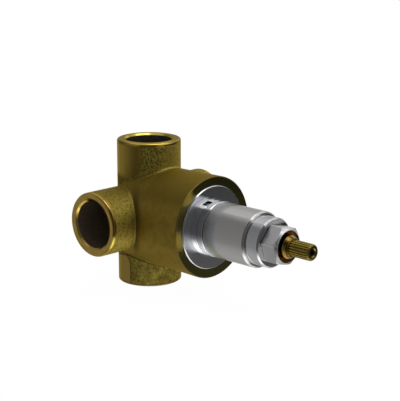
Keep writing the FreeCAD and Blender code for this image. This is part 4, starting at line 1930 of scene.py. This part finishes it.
@dataclass
class Card:
    """A card that only reflections see, curved round the object.

    Its stops are pairs of an elevation in degrees and a share of its strength.
    """

    name: str
    azimuth: tuple[float, float]
    stops: tuple[tuple[float, float], ...]
    distance: float = 1.3
    soft_sides: float = 0.15
    strength: float = 1.0
    columns: int = 25
    rows: int = 17

    def build(self, centre: Vector) -> bpy.types.Object:
        """Build the card.

        Formula in words: each point lies in the direction of its azimuth and elevation, at the same
        distance from the object's middle. Its UV place is its share of the columns and of the rows.

        Args:
            centre: the object's middle, in metres.

        Returns:
            The card.
        """
        azimuth = np.radians(np.linspace(*self.azimuth, self.columns))[None]
        elevation = np.radians(np.linspace(self.stops[0][0], self.stops[-1][0], self.rows))[:, None]
        offsets = np.broadcast_arrays(
            np.cos(elevation) * np.cos(azimuth), np.cos(elevation) * np.sin(azimuth), np.sin(elevation)
        )
        points = np.array(centre) + self.distance * np.stack(offsets, axis=-1)
        card = grid_object(self.name, points, close_rows=False, close_columns=False)
        across, up = np.linspace(0, 1, self.columns)[None], np.linspace(0, 1, self.rows)[:, None]
        shares = np.stack(np.broadcast_arrays(across, up), axis=-1)
        corners = np.empty(len(card.data.loops), np.int32)
        card.data.loops.foreach_get("vertex_index", corners)
        card.data.uv_layers.new(name="card").data.foreach_set("uv", shares.reshape(-1, 2)[corners].ravel())
        put_on(card, self._material())
        card.visible_camera = False
        card.visible_diffuse = False
        card.visible_transmission = False
        card.visible_shadow = False
        return card

    def _material(self) -> bpy.types.Material:
        """Make the grey that follows the stops and lets the white through at the card's sides.

        Returns:
            The material.
        """
        r = Recipe(self.name)
        uv = r.node("ShaderNodeUVMap", {"uv_map": "card"}, {})
        split = r.node("ShaderNodeSeparateXYZ", {}, {0: uv.outputs[0]})
        across, up = Value(r, split.outputs[0]), Value(r, split.outputs[1])
        low, high = self.stops[0][0], self.stops[-1][0]
        stops = [((place - low) / (high - low), (level, level, level)) for place, level in self.stops]
        grey = r.node("ShaderNodeValToRGB", {"stops": stops}, {0: up})
        shade = r.node("ShaderNodeEmission", {}, {"Color": grey.outputs[0], "Strength": self.strength})
        clear = r.node("ShaderNodeBsdfTransparent", {}, {})
        inside = (0.5 - (across - 0.5).size()).rise(0.0, self.soft_sides)
        r.close(r.node("ShaderNodeMixShader", {}, {0: inside, 1: clear.outputs[0], 2: shade.outputs[0]}))
        return r.material


CARDS = (
    Card(
        "card_left",
        (85.0, 262.0),
        (
            *((-75, 0.8), (-52, 0.42), (-46, 0.4), (-37, 0.37), (-30, 0.33), (-20, 0.26)),
            *((0, 0.23), (38, 0.2), (47, 0.2), (53, 0.5), (62, 0.6), (75, 0.9)),
        ),
        distance=1.4,
        soft_sides=0.03,
    ),
    Card(
        "card_back_right",
        (-14.0, 92.0),
        (
            *((-62, 0.8), (-48, 0.36), (-38, 0.35), (-28, 0.5), (0, 0.42)),
            *((25, 0.4), (38, 0.52), (60, 0.62), (75, 0.9)),
        ),
        distance=1.45,
        soft_sides=0.05,
    ),
    Card(
        "card_camera_side",
        (-168.0, -102.0),
        (
            *((-75, 0.8), (-52, 1.0), (-46, 0.76), (-42, 0.51), (-37, 0.3), (-30, 0.16)),
            *((-22, 0.067), (-14, 0.056), (50, 0.056), (66, 0.4), (80, 0.67)),
        ),
        distance=1.3,
        soft_sides=0.06,
        strength=1.5,
    ),
    Card("card_ring_edge", (-106.0, -91.0), ((26, 0.08), (54, 0.08)), distance=1.28, soft_sides=0.03),
    Card(
        "card_front",
        (-114.0, -70.0),
        (
            *((-75, 0.8), (-52, 1.0), (-46, 0.8), (-42, 0.5), (-37, 0.1)),
            *((-26, 0.1), (-18, 0.28), (20, 0.27), (40, 0.67)),
        ),
        distance=1.35,
        strength=1.5,
    ),
    Card(
        "card_front_right",
        (-84.0, -8.0),
        (
            *((-62, 0.8), (-46, 0.8), (-40, 0.64), (-35, 0.42), (-30, 0.24), (-24, 0.1)),
            *((-21, 0.087), (-15, 0.053), (-12, 0.033), (10, 0.033), (22, 0.67)),
        ),
        distance=1.25,
        strength=1.5,
    ),
)


@dataclass
class Softbox:
    """A soft square lamp in a direction from the object, facing it."""

    name: str
    direction: tuple[float, float, float]
    distance: float
    size: float
    power: float

    def build(self, centre: Vector) -> None:
        """Hang the lamp.

        Args:
            centre: the object's middle, in metres.
        """
        data = bpy.data.lights.new(self.name, "AREA")
        data.shape = "SQUARE"
        data.size = self.size
        data.energy = self.power
        away = Vector(self.direction).normalized()
        turn = away.to_track_quat("Z", "Y").to_matrix().to_4x4()
        add_object(self.name, data).matrix_world = Matrix.Translation(centre + away * self.distance) @ turn


SOFTBOXES = (
    Softbox("top_softbox", (0.15, -0.25, 1.0), 1.1, 0.7, 2.5),
    Softbox("right_softbox", (0.9, 0.35, 0.55), 1.2, 0.6, 1.0),
)


@dataclass
class Studio:
    """White floor and surroundings, soft lamps, dark cards and the camera.

    The camera's place is in its own back, right and up directions, in the unit of the fit that found it.
    """

    middle: tuple[float, float, float] = (0.0, -0.03, 0.0147)
    floor_height: float = -0.0192
    floor_radius: float = 3.0
    floor_rings: tuple[float, float, float] = (0.0, 0.3, 1.0)
    floor_columns: int = 96
    floor_colour: Tint = (0.8, 0.8, 0.8, 1.0)
    floor_white: float = 1.03
    floor_share: float = 0.95
    dim_world: float = 0.55
    full_world: float = 1.0
    unit: float = 0.00048
    back: tuple[float, float, float] = (-0.6894, -0.6830, 0.2411)
    right: tuple[float, float, float] = (0.7038, -0.7104, 0.0)
    up: tuple[float, float, float] = (0.1713, 0.1697, 0.9705)
    camera_units: tuple[float, float, float] = (1350.27, 51.175, 10.814)
    focal_pixels: float = 1331.21
    frame_pixels: float = 401.0
    sensor: float = 36.0
    clip: tuple[float, float] = (0.01, 20.0)

    def camera(self) -> None:
        """Set the camera where the photograph was taken from."""
        back, right, up = (Vector(v).normalized() for v in (self.back, self.right, self.up))
        distance, sideways, upwards = self.camera_units
        data = bpy.data.cameras.new("photo_camera")
        data.sensor_width = self.sensor
        data.lens = self.focal_pixels * self.sensor / self.frame_pixels
        data.clip_start, data.clip_end = self.clip
        camera = add_object("photo_camera", data)
        spot = Vector((0.0, 0.0, AXIS_HEIGHT * MM))
        spot += self.unit * (distance * back + sideways * right + upwards * up)
        turn = Matrix((right, up, back)).transposed()
        camera.matrix_world = Matrix.Translation(spot) @ turn.to_4x4()
        bpy.context.scene.camera = camera

    def surroundings(self) -> None:
        """White for the camera and in reflections, plain grey light for the rest."""
        world = bpy.data.worlds.new("studio")
        world.use_nodes = True
        sheet = NodeSheet(world.node_tree, "ShaderNodeOutputWorld")
        levels = {"Value": sheet.seen_directly(), "To Min": self.dim_world, "To Max": self.full_world}
        strength = sheet.node("ShaderNodeMapRange", {}, levels)
        sheet.close(sheet.node("ShaderNodeBackground", {}, {"Strength": strength.outputs["Result"]}))
        bpy.context.scene.world = world

    def floor(self) -> None:
        """Lay a pale round floor that keeps a faint shadow.

        Formula in words: points on circles about the crossing of the waterways, at one height.
        """
        turn = np.linspace(0, 2 * np.pi, self.floor_columns, endpoint=False)
        circle = np.stack([np.cos(turn), np.sin(turn), 0 * turn], -1)
        points = circle[None] * np.array([*self.floor_rings, self.floor_radius])[:, None, None]
        points[..., 2] = self.floor_height
        floor = grid_piece("floor", points, close_rows=False)
        r = Recipe("pale_floor")
        share = r.seen_directly() * self.floor_share
        pale = r.node("ShaderNodeBsdfDiffuse", {}, {"Color": self.floor_colour})
        white = r.node("ShaderNodeEmission", {}, {"Strength": self.floor_white})
        r.close(r.node("ShaderNodeMixShader", {}, {0: share, 1: pale.outputs[0], 2: white.outputs[0]}))
        put_on(floor, r.material)
        floor.visible_glossy = False  # reflections see the white all round and the cards instead

    def build(self) -> None:
        """Build the whole studio."""
        self.camera()
        self.surroundings()
        self.floor()
        middle = Vector(self.middle)
        for fitting in (*SOFTBOXES, *CARDS):
            fitting.build(middle)
        bpy.context.scene.view_settings.view_transform = "Standard"


def main() -> None:
    """Build every piece in order, then the studio."""
    logging.basicConfig(level=logging.INFO, format="%(name)s: %(message)s")
    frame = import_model()
    nodes = frame["nodes"]
    Cartridge().dress(nodes)
    hand_over(Casting().build(nodes["valve_body"]), "valve", "valve_body")
    PlatedFront().build()
    hand_over(GlandNut().build(), "valve", "gland_nut")
    hand_over(Spindle().build(), "stem", "spindle")
    Studio().build()


if __name__ == "__main__":
    main()
